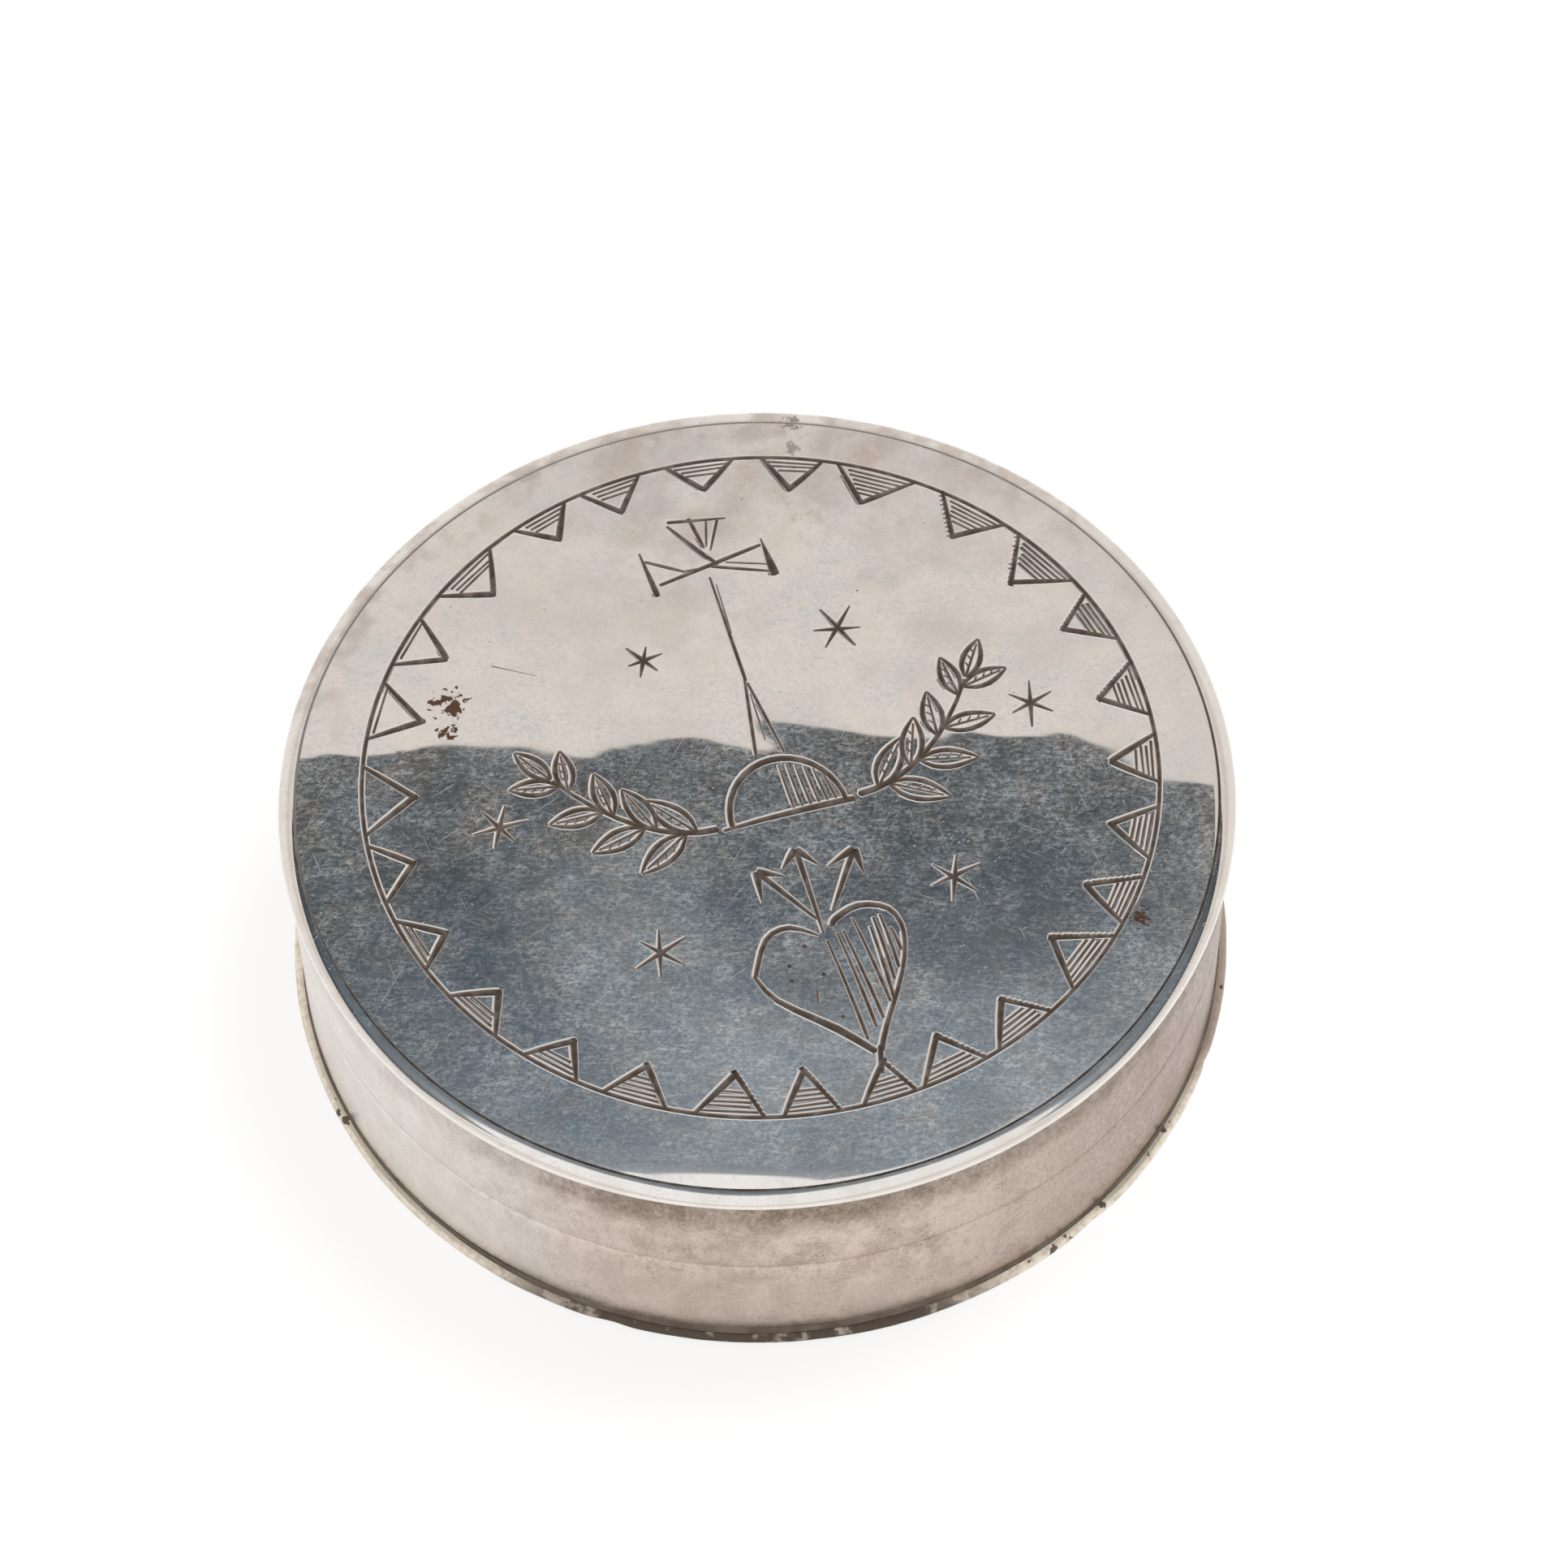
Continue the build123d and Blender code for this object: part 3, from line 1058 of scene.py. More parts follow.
def lid_silver(look):
    """Polished silver of the lid: rubbed hazy, toned in clouds, scratched and stained."""
    f = Finish("lid_silver")
    cloud = f.mottle(5.0, 5.0, 0.62)
    felt = f.mottle(0.30, 6.0, 0.80, stretch=(1.2, 1, 1), turn=-15, seed=0.3)
    grain = f.mottle(0.13, 2.0, 0.5, seed=0.5)
    dapple = f.step(f.mottle(0.9, 5.0, 0.72, stretch=(1.3, 1, 1), turn=-20, seed=3.7), 0.38, 0.62)
    nick = f.mottle(0.22, 2.0, 0.5, stretch=(1.6, 1, 1), turn=25, seed=1.7)
    scratch = hairlines(f, HAIRLINE_TURNS, 0.10, 0.745)
    brushed = f.mottle(0.14, 4.0, 0.65, stretch=(5, 1, 1), turn=-17, seed=0.9)
    crossed = f.mottle(0.16, 4.0, 0.65, stretch=(4, 1, 1), turn=34, seed=1.4)
    upper = f.step(f.axes[1], -4 * MM, 27 * MM)
    lower = f.step(f.axes[1], 1 * MM, -9 * MM)
    toned = f.times(f.step(f.mottle(5.0, 6.0, 0.68, seed=0.7), 0.36, 0.70), f.scaled(upper, 0.25, 1.0))
    toned = f.times(toned, f.scaled(f.step(f.axes[0], -20 * MM, 4 * MM), 0.15, 1.0))
    freckle = f.times(f.step(felt, 0.46, 0.68), f.step(grain, 0.42, 0.6), 0.8)
    stain = f.most(*(f.times(f.blot(*row), share) for *row, share in STAINS))
    margin = f.step(f.radius(), 25.0 * MM, 29.0 * MM)
    side = f.times(margin, f.step(f.axes[0], 10 * MM, 24 * MM))
    rim_dirt = f.step(f.mottle(2.2, 4.0, seed=0.9), 0.42, 0.66)
    rim_dirt = f.times(margin, rim_dirt, f.scaled(upper, 0.3, 1.0))
    smudge = f.times(f.spot(8.7, 21.0, 6.0), f.step(f.mottle(1.4, 5.0, 0.7, seed=4.1), 0.46, 0.66))
    tarnish = f.most(toned, f.times(freckle, f.step(cloud, 0.25, 0.60)), rim_dirt, smudge)
    # Bluish tint painted on the near half, where the lid mirrors the dark ceiling, fading towards the
    # margin: painted reflection colour
    painted_reflection_tint = f.step(f.mottle(2.6, 6.0, 0.7, seed=2.1), 0.46, 0.62)
    painted_reflection_tint = f.times(painted_reflection_tint, lower, f.scaled(margin, 0.6, 0.0))
    colour = f.mix(tarnish, paint(look.silver), paint(look.toning))
    colour = f.mix(painted_reflection_tint, colour, paint(look.painted_reflection_tint))
    colour = f.mix(stain, colour, paint(look.stain))
    streaks = f.most(f.step(brushed, 0.46, 0.64), f.step(crossed, 0.50, 0.68))
    fine = f.maths("ADD", f.times(f.step(felt, 0.42, 0.62), 0.30), f.times(streaks, 0.20))
    fine = f.maths("ADD", fine, f.times(f.step(grain, 0.54, 0.70), 0.12))
    fine = f.times(fine, f.scaled(f.step(cloud, 0.34, 0.66), 0.65, 1.15))
    fine = f.times(fine, f.scaled(dapple, 0.62, 1.35))
    haze = f.maths("ADD", fine, f.scaled(f.step(cloud, 0.38, 0.70), 0.02, 0.10))
    haze = f.maths("ADD", haze, f.times(f.step(f.axes[1], -6 * MM, -24 * MM), 0.11))
    haze = f.maths("ADD", haze, f.times(side, 0.05))
    for x, y, radius, share in HAZED:
        haze = f.maths("ADD", haze, f.times(f.spot(x, y, radius), share))
    for x, y, radius, share in RUBBED:
        haze = f.times(haze, f.scaled(f.spot(x, y, radius), 1.0, 1.0 - share))
    haze = f.times(haze, f.scaled(f.step(f.radius(), 29.0 * MM, 29.1 * MM), 1.0, 0.25))
    struck = f.times(f.spot(-8.7, -26.8, 9.0), f.step(f.radius(), 27.0 * MM, 28.0 * MM))
    haze = f.times(haze, f.scaled(struck, 1.0, 0.2))
    nicked = f.times(f.step(nick, 0.69, 0.74), 0.7)
    haze = f.most(haze, f.times(scratch, 0.65), nicked, f.times(stain, 0.8))
    normal = f.bump(f.mottle(13.0, 1.0, 0.4), 0.020)
    normal = f.bump(f.mottle(5.0, 1.5, 0.45, stretch=(1.5, 1, 1), turn=-35, seed=0.6), 0.009, normal)
    lean = f.times(f.axes[0], f.axes[1], TWIST / MM ** 2)
    for way, start, slope in LEANS:
        beyond = f.most(f.maths("SUBTRACT", f.times(f.axes[0], way / MM), start), 0.0)
        lean = f.maths("ADD", lean, f.times(beyond, f.axes[1], slope / MM))
    normal = f.bump(lean, 1.0, normal)
    polished = f.metal(colour, POLISH_ROUGHNESS, normal)
    # Less warmth on the near half leaves its bloom bluer there: painted reflection colour as well
    warmth = f.times(f.step(f.mottle(3.0, 5.0, 0.7, seed=2.9), 0.44, 0.62), f.scaled(lower, 1.0, 0.6))
    bloom = f.mix(f.most(warmth, f.times(side, 0.7)), paint(look.haze), paint(look.silver))
    hazy = f.metal(f.mix(stain, bloom, colour), BLOOM_ROUGHNESS, normal)
    return f.done(f.blend(haze, polished, hazy))


def groove_silver(look):
    """Bottom of a stroke: bare metal at the lip, brown below it and dark along the keel."""
    f = Finish("groove_silver")
    depth = f.maths("SUBTRACT", LID_TOP * MM, f.axes[2])
    patchy = f.mottle(1.2, 4.0, 0.6)
    dirty = f.times(f.step(depth, 0.0, 0.04 * MM), f.scaled(f.step(patchy, 0.3, 0.6), 0.88, 1.0))
    worn = f.times(f.step(f.radius(), 28.0 * MM, 28.4 * MM), f.step(f.axes[1], -12 * MM, 16 * MM))
    dirty = f.times(dirty, f.scaled(worn, 1.0, 0.55))
    deep = f.step(depth, 0.02 * MM, 0.10 * MM)
    colour = f.mix(dirty, paint(look.silver), f.mix(deep, paint(look.groove), paint(look.dirt_and_shade)))
    roughness = f.scaled(dirty, 0.16, 0.5)
    metallic = f.scaled(dirty, 1.0, 0.5)
    normal = f.bump(patchy, 0.004)
    return f.done(f.metal(colour, roughness, normal, metallic))


def wall_silver(look):
    """Wall sheet: pale at the left with painted light, pinkish and mottled to the right with painted shade
    there, dirty with soot and painted shade under the rim.
    """
    f = Finish("wall_silver")
    cloud = f.mottle(2.2, 6.0, 0.74, stretch=(1, 1, 1.5))
    smudge = f.mottle(4.0, 6.0, 0.72, stretch=(1, 1, 0.8), seed=1.1)
    speck = f.mottle(0.3, 5.0, 0.8, stretch=(1, 1, 1.5), seed=0.3)
    pit = f.mottle(0.2, 3.0, 0.6, seed=0.6)
    grain = f.step(f.mottle(0.13, 3.0, 0.7, stretch=(1, 1, 1.6), seed=1.3), 0.50, 0.66)
    # Left to right across the wall: the pale far left that this leaves is painted light
    front = f.step(f.axes[0], -29 * MM, -12 * MM)
    # Darker and browner towards the right: painted shade
    right = f.step(f.axes[0], -4 * MM, 24 * MM)
    near = f.step(f.axes[1], -8 * MM, -24 * MM)
    # Darker towards the top of the wall, under the lid's overhanging rim: partly soot, partly painted shade
    under_rim = f.step(f.axes[2], (LID_UNDERSIDE - 4.2) * MM, (LID_UNDERSIDE - 1.5) * MM)
    # Browner at the foot of the wall on the near side: painted shade
    low = f.times(near, f.step(f.axes[2], (BASE_FLOOR + 1.5) * MM, (BASE_FLOOR + 0.2) * MM))
    patchy = f.step(cloud, 0.38, 0.62)
    grainy = f.step(speck, 0.34, 0.64)
    # Brown: patina in patches, plus painted shade to the right and at the foot of the wall
    brown = f.most(f.times(patchy, f.scaled(front, 0.15, 0.6)), right, f.times(low, 0.25))
    brown = f.times(brown, f.scaled(grainy, 0.65, 1.0))
    brown = f.maths("ADD", brown, f.times(grain, f.scaled(front, 0.10, 0.42)))
    # Less brown on the lower band at the front, left of the middle
    less_brown_low_front = f.times(near, f.step(f.axes[2], SEAM_LEVEL * MM, (BASE_FLOOR + 3.0) * MM))
    less_brown_low_front = f.times(less_brown_low_front, f.step(f.axes[0], 10 * MM, -4 * MM))
    brown = f.times(brown, f.scaled(less_brown_low_front, 1.0, 0.45))
    # Soot in smudges, plus painted shade under the rim and a little on the right
    sooty_and_shaded = f.most(under_rim, f.times(f.step(smudge, 0.54, 0.68), front, 0.40), f.times(right, 0.25))
    sooty_and_shaded = f.times(sooty_and_shaded, f.scaled(front, 0.25, 1.0))
    sooty_and_shaded = f.times(sooty_and_shaded, f.scaled(patchy, 0.7, 1.0), f.scaled(grainy, 0.6, 1.0))
    pitted = f.times(f.step(pit, 0.58, 0.68), f.step(smudge, 0.44, 0.60), f.scaled(front, 0.3, 0.7))
    # Nearly bare silver at the far left, pink blush elsewhere: the pale left is painted light
    colour = f.mix(f.scaled(front, 0.10, 1.0), paint(look.silver), paint(look.blush))
    colour = f.mix(brown, colour, paint(look.patina_and_shade))
    colour = f.mix(f.most(sooty_and_shaded, pitted), colour, paint(look.soot_and_rim_shade))
    roughness = f.scaled(f.most(patchy, grainy), 0.22, 0.42)
    return f.done(f.metal(colour, roughness, f.bump(speck, 0.006)))


def base_silver(look):
    """Base sheet: ivory where its edge is worn, dark with painted shade at the front of the flange, plain
    inside.
    """
    f = Finish("base_silver")
    speck = f.mottle(0.5, 4.0, 0.7)
    cloud = f.mottle(2.4, 4.0, 0.6, seed=0.4)
    chip = f.step(f.mottle(1.5, 3.0, 0.6, seed=0.2), 0.64, 0.67)
    flange = f.step(f.radius(), (WALL_RADIUS - 0.4) * MM, (WALL_RADIUS + 0.1) * MM)
    # Dark patches on the side of the flange that faces the camera: painted shade
    ahead = f.add("VectorMath", {0: f.place, 1: DARK_SIDE}, operation="DOT_PRODUCT").outputs["Value"]
    shaded = f.scaled(f.step(cloud, 0.62, 0.52), 0.55, 0.95)
    shaded = f.times(f.step(ahead, 24.5 * MM, 28.5 * MM), shaded)
    # Dark chips of dirt, plus that painted shade
    grime_and_shade = f.times(flange, f.most(f.times(chip, 0.9), shaded))
    browned = f.times(f.step(f.axes[0], 18 * MM, 26 * MM), f.step(f.axes[1], -21 * MM, -17 * MM), 0.85)
    worn = f.mix(f.times(flange, browned), paint(look.ivory), paint(look.patina_and_shade))
    worn = f.mix(flange, paint(look.silver), worn)
    speckled = f.times(f.step(speck, 0.4, 0.7), f.scaled(flange, 0.12, 0.45))
    dulled = f.times(f.step(cloud, 0.36, 0.66), f.scaled(flange, 0.30, 0.0))
    colour = f.mix(f.maths("ADD", speckled, dulled), worn, paint(look.patina_and_shade))
    colour = f.mix(grime_and_shade, colour, paint(look.dirt_and_shade))
    roughness = f.scaled(f.most(f.times(f.step(speck, 0.4, 0.7), flange), grime_and_shade), 0.26, 0.45)
    return f.done(f.metal(colour, roughness, f.bump(speck, 0.006)))


def inner_silver(look):
    """Unpolished silver of the inside, scratched by the lid's skirt."""
    f = Finish("inner_silver")
    cloud = f.mottle(3.5, 4.0, 0.6)
    rub = f.mottle(0.25, 2.0, 0.5, stretch=(1, 1, 20))
    colour = f.mix(f.scaled(f.step(cloud, 0.35, 0.7), 0.1, 0.55), paint(look.silver), paint(look.toning))
    roughness = f.scaled(f.step(rub, 0.4, 0.7), 0.22, 0.40)
    return f.done(f.metal(colour, roughness, f.bump(rub, 0.002)))


def solder_metal(look):
    """Smooth old solder, browned unevenly."""
    f = Finish("solder")
    cloud = f.mottle(2.0, 4.0, 0.6)
    pits = f.mottle(0.35, 3.0, 0.6, seed=0.3)
    colour = f.mix(f.scaled(f.step(cloud, 0.35, 0.68), 0.4, 0.9), paint(look.dirt_and_shade), paint(look.solder))
    roughness = f.scaled(pits, 0.28, 0.45)
    return f.done(f.metal(colour, roughness, f.bump(pits, 0.006)))


# Operators, one for each piece

def lid_profile(level, lip, inner):
    """Section of the lid plate, from the flat field over the scored line and the bead to the underside."""
    outer_lip = SCORE_RADIUS + SCORE_HALF
    floor = level - SCORE_DEPTH
    round_width, round_height = LID_UNDERCUT
    profile = run((inner, level), (lip, level), 8)
    profile += [(lip - width, level) for *_, width in DIPS[1:]]
    profile += [(lip, level)]
    profile += [(SCORE_RADIUS + side * SCORE_FLOOR_HALF, floor) for side in (-1, 1)]
    profile += arc((outer_lip, RIM_LEVEL), (LID_RADIUS - outer_lip, level - RIM_LEVEL), 90, 0, 12)
    profile += arc((LID_RADIUS - round_width, LID_UNDERSIDE + round_height), LID_UNDERCUT, 0, -90, 4)
    return profile + [(inner, LID_UNDERSIDE)]


def roll_over(bm, level, lip):
    """Presses the lid's margin down where it is rolled over."""
    for vert in bm.verts:
        height = (vert.co.z - RIM_LEVEL) / (level - RIM_LEVEL)
        angle = math.degrees(math.atan2(vert.co.y, vert.co.x))
        for where, wide, deep, width in DIPS:
            reach = (vert.co.xy.length - lip + width) / width
            if reach > 0 and height > 0:
                share = min(reach, 1.0) ** DIP_CURVE * min(height, 1.0)
                vert.co.z -= deep * share * math.exp(-(((angle - where) / wide) ** 2))


class PYX_OT_lid_plate(bpy.types.Operator):
    """Engraved top disc with its scored line and rounded bead"""

    bl_idname = "pyx.lid_plate"
    bl_label = "Lid Plate"

    def execute(self, context):
        scene = context.scene
        cut = scene.pyx_engraving
        level = LID_TOP - cut.burr_height / MM
        lip = SCORE_RADIUS - SCORE_HALF
        inner = lip - max(width for *_, width in DIPS)
        blank = turned(lid_profile(level, lip, inner), scene.pyx_wear.turns, closed=False)
        roll_over(blank, level, lip)
        for face in blank.faces:
            middle = face.calc_center_median()
            scored = abs(middle.xy.length - SCORE_RADIUS) < SCORE_HALF and middle.z > RIM_LEVEL
            face.material_index = int(scored)
        gridded(blank, level, GRID_PITCH)
        bm = engrave(blank, cut, level)
        for vert in bm.verts:
            vert.co.z = min(vert.co.z, LID_TOP - BURR_WEAR)
        shade(bm)
        for face in bm.faces:
            field = face.calc_center_median().xy.length < inner - FIELD_MARGIN
            face.smooth = not (field or len(face.verts) > MANY_CORNERS)
        finishes = [lid_silver(scene.pyx_finish), groove_silver(scene.pyx_finish)]
        piece("lid_plate_engraved", bm, "lid", "lid_plate", finishes)
        return {"FINISHED"}


class PYX_OT_lid_skirt(bpy.types.Operator):
    """Upper band, flush with the wall below it"""

    bl_idname = "pyx.lid_skirt"
    bl_label = "Lid Skirt"

    def execute(self, context):
        wear = context.scene.pyx_wear
        soft = BAND_ROUND
        profile = run((SKIRT_INNER_RADIUS, LID_UNDERSIDE), (SKIRT_INNER_RADIUS, SEAM_LEVEL + soft), 6)
        profile += arc((SKIRT_INNER_RADIUS + soft, SEAM_LEVEL + soft), (soft, soft), 180, 270, 3)
        profile += arc((WALL_RADIUS - soft, SEAM_LEVEL + soft), (soft, soft), 270, 360, 3)
        profile += run((WALL_RADIUS, SEAM_LEVEL + soft), (WALL_RADIUS, LID_UNDERSIDE), 8)[1:]
        profile += [(WALL_RADIUS, LID_UNDERSIDE)]
        bm = turned(profile, wear.turns, closed=True)
        wander(bm, wear.wall_wander / MM, BAND_WAVES, BAND_SEED)
        shade(bm)
        finishes = [wall_silver(context.scene.pyx_finish)]
        piece("lid_skirt_band", bm, "lid", "lid_skirt", finishes)
        return {"FINISHED"}


def solder_run(radius, level, outwards, upwards, wear):
    """Ring of solder in a corner between a band and a plate, swelling and shrinking on its way round."""
    profile = [(radius, level), (radius + outwards, level)]
    for share in (0.75, 0.5, 0.25, 0.0):
        profile.append((radius + share * outwards, level + (1 - share) ** SOLDER_HOLLOW * upwards))
    bm = turned(profile, 2 * wear.turns, closed=True)
    corner = Vector((radius, level))
    for vert in bm.verts:
        ring = vert.co.xy.length
        around = vert.co.xy / ring
        swell = noise.fractal(Vector((*(around * 5), level)), 0.9, 2.0, 3)
        ahead = max(0.0, around.dot(Vector(DARK_SIDE[:2])))
        size = SOLDER_LEAST + (SOLDER_MOST - SOLDER_LEAST) * ahead ** SOLDER_FALL
        size *= 1 + wear.solder_lumps * max(-1.0, min(0.0, swell))
        section = corner + (Vector((ring, vert.co.z)) - corner) * size
        vert.co = (*(around * section.x), section.y)
    bmesh.ops.recalc_face_normals(bm, faces=bm.faces)
    shade(bm, SOLDER_CREASE)
    return bm


class PYX_OT_lid_solder(bpy.types.Operator):
    """Run of solder inside the lid"""

    bl_idname = "pyx.lid_solder"
    bl_label = "Lid Solder"

    def execute(self, context):
        leg = outer_radius("lid_solder") - inner_radius("lid_solder")
        bm = solder_run(SKIRT_INNER_RADIUS, LID_UNDERSIDE, -leg, -leg, context.scene.pyx_wear)
        finishes = [solder_metal(context.scene.pyx_finish)]
        piece("lid_solder_run", bm, "lid", "lid_solder", finishes)
        return {"FINISHED"}


def waves(place, size, seed):
    """Smooth 0 to 1 waves of about a size over the plan."""
    return 0.5 + 0.5 * noise.noise(Vector((place.x / size, place.y / size, seed)))


def wear_flange(bm, amount):
    """Files, dents and bends the part of the base plate that stands out past the wall."""
    start = WALL_RADIUS - FLANGE_ROOT
    for vert in bm.verts:
        radius = vert.co.xy.length
        reach = max(0.0, (radius - start) / (FLANGE_RADIUS - start))
        if not reach:
            continue
        angle = math.degrees(math.atan2(vert.co.y, vert.co.x))
        cut = amount * waves(vert.co, 4.0, 5.0) + FLANGE_NICKS * waves(vert.co, 0.9, 1.0)
        for where, wide, deep in FLANGE_DENTS:
            off = (angle - where + 180) % 360 - 180
            cut += deep * math.exp(-((off / wide) ** 2))
        vert.co.xy *= 1 - min(cut, FLANGE_MOST) * reach / radius
        height = (vert.co.z - BASE_BOTTOM) / (BASE_FLOOR - BASE_BOTTOM)
        bend = FLANGE_DROP + FLANGE_BEND * waves(vert.co, 6.0, 9.0)
        vert.co.z -= bend * height * reach


class PYX_OT_base_plate(bpy.types.Operator):
    """Base disc with its bent and dented flange"""

    bl_idname = "pyx.base_plate"
    bl_label = "Base Plate"

    def execute(self, context):
        wear = context.scene.pyx_wear
        soft = FLANGE_ROUND
        profile = [(BASE_MIDDLE, BASE_FLOOR)]
        profile += run((WALL_INNER_RADIUS, BASE_FLOOR), (FLANGE_RADIUS - soft, BASE_FLOOR), 4)
        profile += arc((FLANGE_RADIUS - soft, BASE_FLOOR - soft), (soft, soft), 90, 0, 4)
        profile += arc((FLANGE_RADIUS - soft, BASE_BOTTOM + soft), (soft, soft), 0, -90, 4)
        profile += [(WALL_INNER_RADIUS, BASE_BOTTOM), (BASE_MIDDLE, BASE_BOTTOM)]
        bm = turned(profile, 2 * wear.turns, closed=False)
        wear_flange(bm, wear.flange_wander / MM)
        shade(bm)
        finishes = [base_silver(context.scene.pyx_finish)]
        piece("base_plate_disc", bm, "base", "base_plate", finishes)
        return {"FINISHED"}


class PYX_OT_base_wall(bpy.types.Operator):
    """Lower band, standing on the base plate"""

    bl_idname = "pyx.base_wall"
    bl_label = "Base Wall"

    def execute(self, context):
        wear = context.scene.pyx_wear
        soft = BAND_ROUND
        profile = run((WALL_INNER_RADIUS, SEAM_LEVEL), (WALL_INNER_RADIUS, BASE_FLOOR), 6)
        profile += run((WALL_INNER_RADIUS, BASE_FLOOR), (WALL_RADIUS, BASE_FLOOR), 1)
        profile += run((WALL_RADIUS, BASE_FLOOR), (WALL_RADIUS, SEAM_LEVEL - soft), 8)
        profile += arc((WALL_RADIUS - soft, SEAM_LEVEL - soft), (soft, soft), 0, 90, 3)
        bm = turned(profile, wear.turns, closed=True)
        wander(bm, wear.wall_wander / MM, BAND_WAVES, BAND_SEED)
        shade(bm)
        finishes = [wall_silver(context.scene.pyx_finish)]
        piece("base_wall_band", bm, "base", "base_wall", finishes)
        return {"FINISHED"}


class PYX_OT_base_solder(bpy.types.Operator):
    """Lumpy run of solder round the foot of the wall"""

    bl_idname = "pyx.base_solder"
    bl_label = "Base Solder"

    def execute(self, context):
        leg = outer_radius("base_solder") - inner_radius("base_solder")
        bm = solder_run(WALL_RADIUS, BASE_FLOOR, leg, leg, context.scene.pyx_wear)
        finishes = [solder_metal(context.scene.pyx_finish)]
        piece("base_solder_run", bm, "base", "base_solder", finishes)
        return {"FINISHED"}


class PYX_OT_bezel(bpy.types.Operator):
    """Inner band that the lid slips over"""

    bl_idname = "pyx.bezel"
    bl_label = "Bezel"

    def execute(self, context):
        wear = context.scene.pyx_wear
        lead, soft = BEZEL_LEAD, BEZEL_ROUND
        profile = run((BEZEL_INNER_RADIUS, BEZEL_BOTTOM), (WALL_INNER_RADIUS, BEZEL_BOTTOM), 1)
        profile += run((WALL_INNER_RADIUS, BEZEL_BOTTOM), (WALL_INNER_RADIUS, BEZEL_TOP - lead), 8)
        profile += arc((WALL_INNER_RADIUS - lead, BEZEL_TOP - lead), (lead, lead), 0, 90, 4)
        profile += arc((BEZEL_INNER_RADIUS + soft, BEZEL_TOP - soft), (soft, soft), 90, 180, 3)
        profile += run((BEZEL_INNER_RADIUS, BEZEL_TOP - soft), (BEZEL_INNER_RADIUS, BEZEL_BOTTOM), 8)[1:]
        bm = turned(profile, wear.turns, closed=True)
        shade(bm)
        finishes = [inner_silver(context.scene.pyx_finish)]
        piece("bezel_band", bm, "base", "bezel", finishes)
        return {"FINISHED"}


# The stage

# Strength of the floor's own glow, and its share in what the camera and what a mirror sees of the floor
FLOOR_GLOW = 1.03
FLOOR_GLOW_SEEN = 0.76
FLOOR_GLOW_MIRRORED = 0.45
FLOOR_RADIUS = 3.0

# Place of the key light from the lid's middle, as seen from the camera's side, and its size
KEY_PLACE = (0.30, 0.28, 0.90)
KEY_SIZE = 0.35

# Width of the camera's frame in millimetres, and the nearest that it sees
FRAME_WIDTH = 36.0
NEAREST = 0.01

WHITE = (1.0, 1.0, 1.0)

# What a mirror sees of the studio: sine of the height above the horizon, and colour
STUDIO_WALLS = (
    (0.00, (0.92, 0.90, 0.87)),
    (0.70, (0.90, 0.87, 0.84)),
    (0.775, (0.70, 0.655, 0.62)),
    (0.800, (0.80, 0.745, 0.70)),
    (0.83, (0.86, 0.80, 0.755)),
    (0.95, WHITE),
)
STUDIO_CEILING = (
    (0.82, (0.055, 0.056, 0.058)),
    (0.835, (0.050, 0.064, 0.076)),
    (0.850, (0.070, 0.095, 0.120)),
    (0.868, (0.13, 0.17, 0.21)),
    (0.900, (0.18, 0.21, 0.24)),
    (0.930, (0.34, 0.37, 0.40)),
    (0.938, WHITE),
)

# Where the dark ceiling on the far side begins
CEILING_EDGE = 0.8216


def floor_paint(colour):
    """Pale floor that the camera sees almost white, with the object's shadow kept."""
    material = bpy.data.materials.new("floor_paint")
    n = Nodes(material)
    rays = n.add("LightPath").outputs
    matt = n.add("BsdfDiffuse", {"Color": paint(colour)}).outputs[0]
    glow = n.add("Emission", {"Strength": FLOOR_GLOW}).outputs[0]
    seen = n.times(rays["Is Camera Ray"], FLOOR_GLOW_SEEN)
    mirrored = n.times(rays["Is Glossy Ray"], FLOOR_GLOW_MIRRORED)
    surface = n.blend(n.maths("ADD", seen, mirrored), matt, glow)
    n.add("OutputMaterial", {"Surface": surface})
    return material


def studio_world(gaze):
    """Pale walls, a ceiling that is dark on the far side, and white where the camera looks past it all."""
    world = bpy.data.worlds.new("studio")
    n = Nodes(world)
    way = n.add("TexCoord").outputs["Generated"]
    height = n.add("SeparateXYZ", {0: way}).outputs["Z"]
    above = n.maths("GREATER_THAN", height, CEILING_EDGE)
    ahead = n.add("VectorMath", {0: way, 1: gaze}, operation="DOT_PRODUCT").outputs["Value"]
    dark = n.times(above, n.maths("GREATER_THAN", ahead, 0.0))
    seen = n.mix(dark, n.bands(height, STUDIO_WALLS), n.bands(height, STUDIO_CEILING))
    direct = n.add("LightPath").outputs["Is Camera Ray"]
    back = n.add("Background", {"Color": n.mix(direct, seen, paint(WHITE))}).outputs[0]
    n.add("OutputWorld", {"Surface": back})
    return world


def lamp(name, place, size, power, target):
    """Soft square light that points at a target."""
    data = bpy.data.lights.new(name, "AREA")
    data.size = size
    data.energy = power
    made = bpy.data.objects.new(name, data)
    made.location = place
    made.rotation_euler = (Vector(place) - target).to_track_quat("Z", "Y").to_euler()
    made.visible_glossy = False
    bpy.context.scene.collection.objects.link(made)


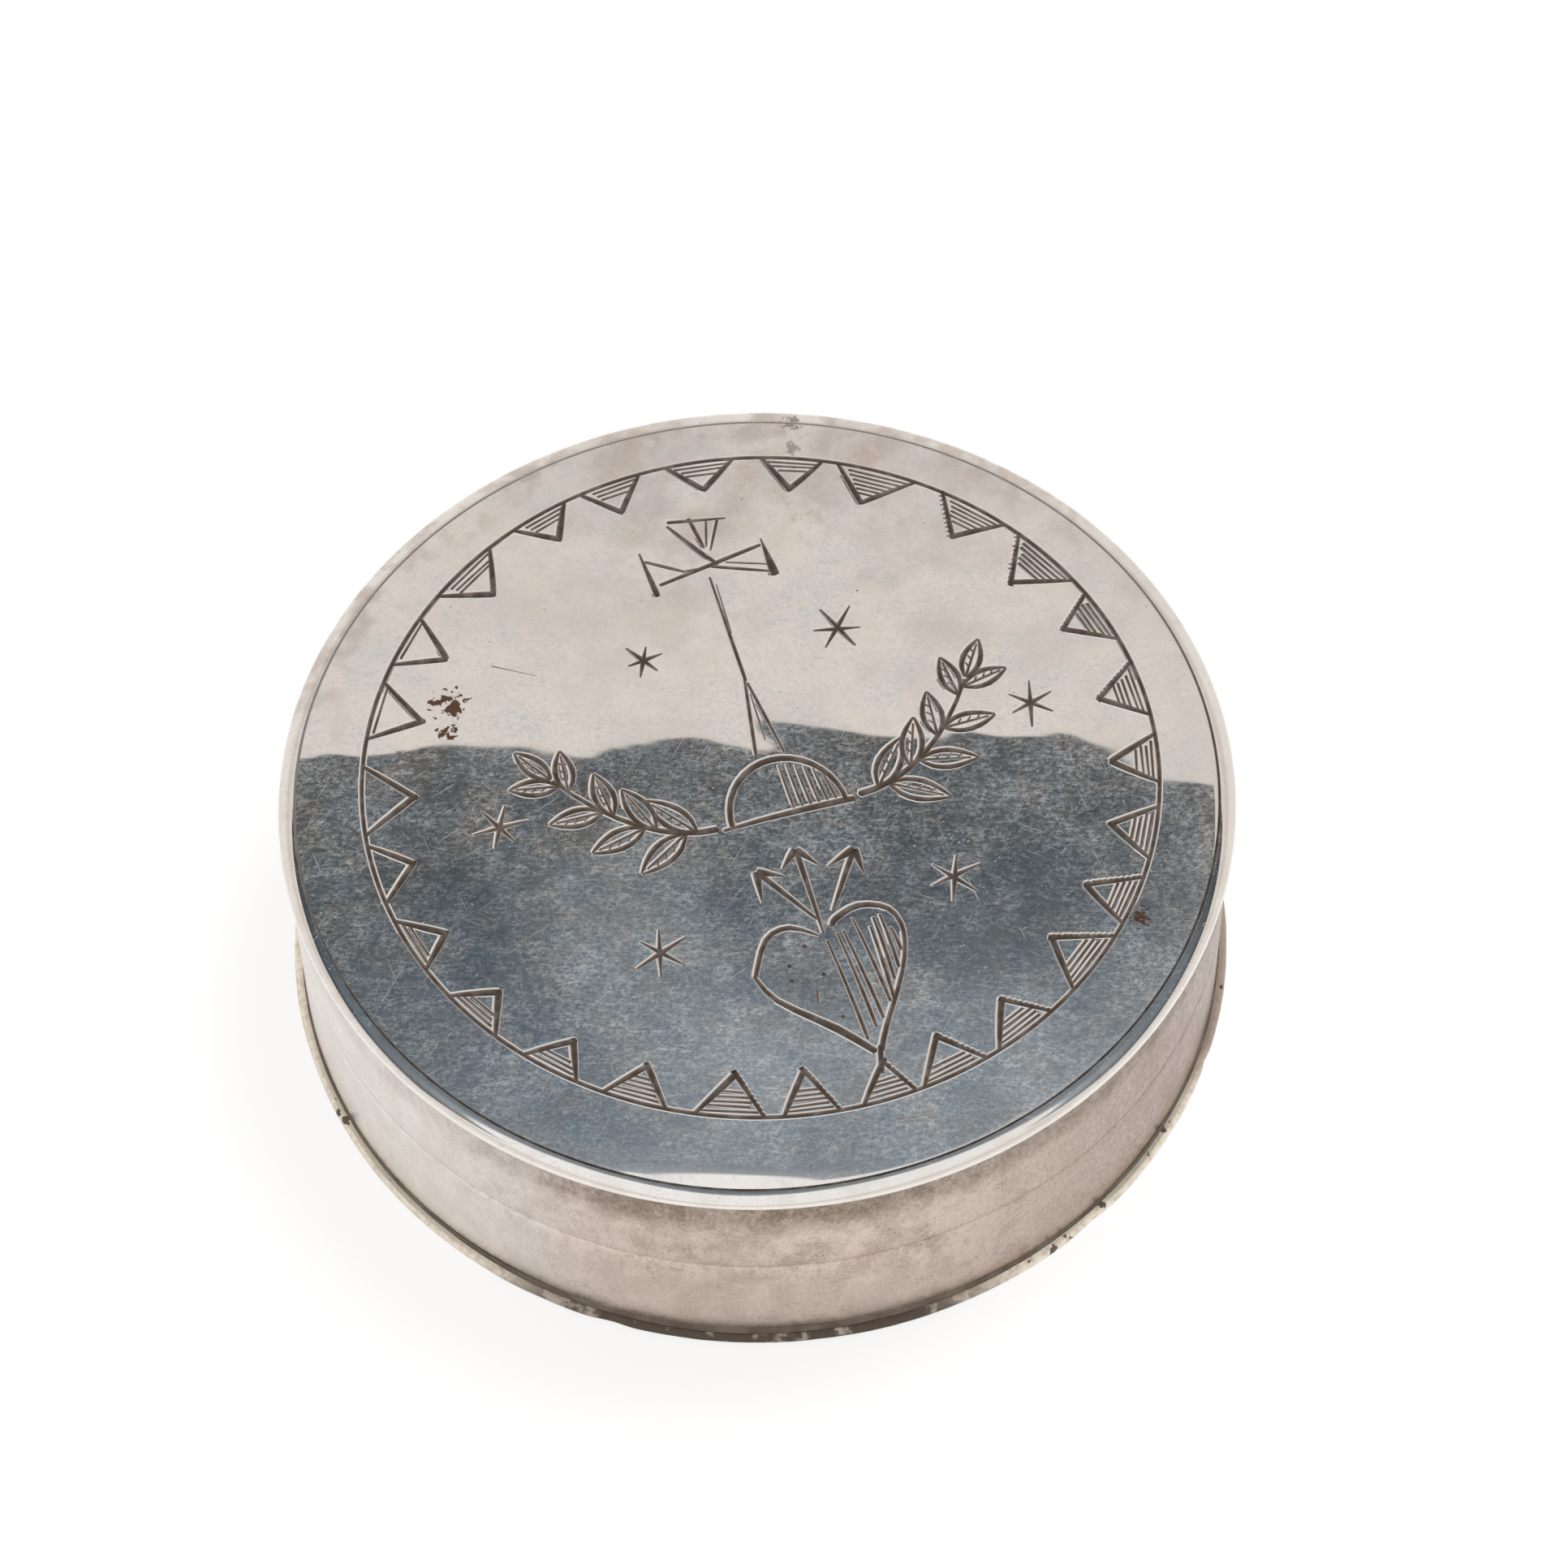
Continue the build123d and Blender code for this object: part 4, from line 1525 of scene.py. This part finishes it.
class PYX_OT_stage(bpy.types.Operator):
    """Floor, studio light and the camera at the photograph's angle"""

    bl_idname = "pyx.stage"
    bl_label = "Stage"

    def execute(self, context):
        scene = context.scene
        stage = scene.pyx_stage
        bm = bmesh.new()
        bmesh.ops.create_circle(bm, cap_ends=True, segments=96, radius=FLOOR_RADIUS)
        mesh = bpy.data.meshes.new("floor")
        bm.to_mesh(mesh)
        bm.free()
        mesh.materials.append(floor_paint(stage.floor))
        floor = bpy.data.objects.new("floor", mesh)
        scene.collection.objects.link(floor)

        middle = Vector((0, 0, RIM_LEVEL * MM))
        side = Matrix.Rotation(stage.azimuth, 3, "Z")
        scene.world = studio_world(side @ Vector((0, 1, 0)))
        lamp("key", middle + side @ Vector(KEY_PLACE), KEY_SIZE, stage.key_power, middle)

        back = side @ Vector((0, -math.cos(stage.elevation), math.sin(stage.elevation)))
        right = side @ Vector((1, 0, 0))
        up = back.cross(right)
        data = bpy.data.cameras.new("camera")
        data.lens = stage.lens
        data.sensor_width = FRAME_WIDTH
        data.clip_start = NEAREST
        camera = bpy.data.objects.new("camera", data)
        camera.location = middle + back * stage.distance
        aim = middle + right * stage.aim_right + up * stage.aim_up
        gaze = (camera.location - aim).to_track_quat("Z", "Y")
        camera.rotation_euler = (gaze.to_matrix() @ Matrix.Rotation(stage.roll, 3, "Z")).to_euler()
        scene.collection.objects.link(camera)
        scene.camera = camera
        scene.view_settings.view_transform = "Standard"
        return {"FINISHED"}


class PYX_PT_sidebar(bpy.types.Panel):
    """Lists the pieces of the pyx, in the order they are made"""

    bl_idname = "PYX_PT_sidebar"
    bl_label = "Engraved Pyx"
    bl_space_type = "VIEW_3D"
    bl_region_type = "UI"
    bl_category = "Pyx"

    def draw(self, context):
        for operator in OPERATORS:
            self.layout.operator(operator.bl_idname)
        for settings in SETTINGS:
            box = self.layout.box()
            group = getattr(context.scene, settings)
            for name in group.bl_rna.properties.keys():
                if name not in ("rna_type", "name"):
                    box.prop(group, name)


SETTINGS = {
    "pyx_engraving": EngravingSettings,
    "pyx_finish": FinishSettings,
    "pyx_wear": WearSettings,
    "pyx_stage": StageSettings,
}
OPERATORS = (
    PYX_OT_base_plate,
    PYX_OT_base_wall,
    PYX_OT_base_solder,
    PYX_OT_bezel,
    PYX_OT_lid_skirt,
    PYX_OT_lid_solder,
    PYX_OT_lid_plate,
    PYX_OT_stage,
)


def register():
    """Adds the settings, the operators and the panel."""
    for name, group in SETTINGS.items():
        bpy.utils.register_class(group)
        setattr(bpy.types.Scene, name, PointerProperty(type=group))
    for cls in (*OPERATORS, PYX_PT_sidebar):
        bpy.utils.register_class(cls)


def unregister():
    """Removes what register added."""
    for cls in (PYX_PT_sidebar, *reversed(OPERATORS)):
        bpy.utils.unregister_class(cls)
    for name, group in SETTINGS.items():
        delattr(bpy.types.Scene, name)
        bpy.utils.unregister_class(group)


def main():
    """Makes every piece and the stage."""
    register()
    for operator in OPERATORS:
        family, name = operator.bl_idname.split(".")
        getattr(getattr(bpy.ops, family), name)()


if __name__ == "__main__":
    main()
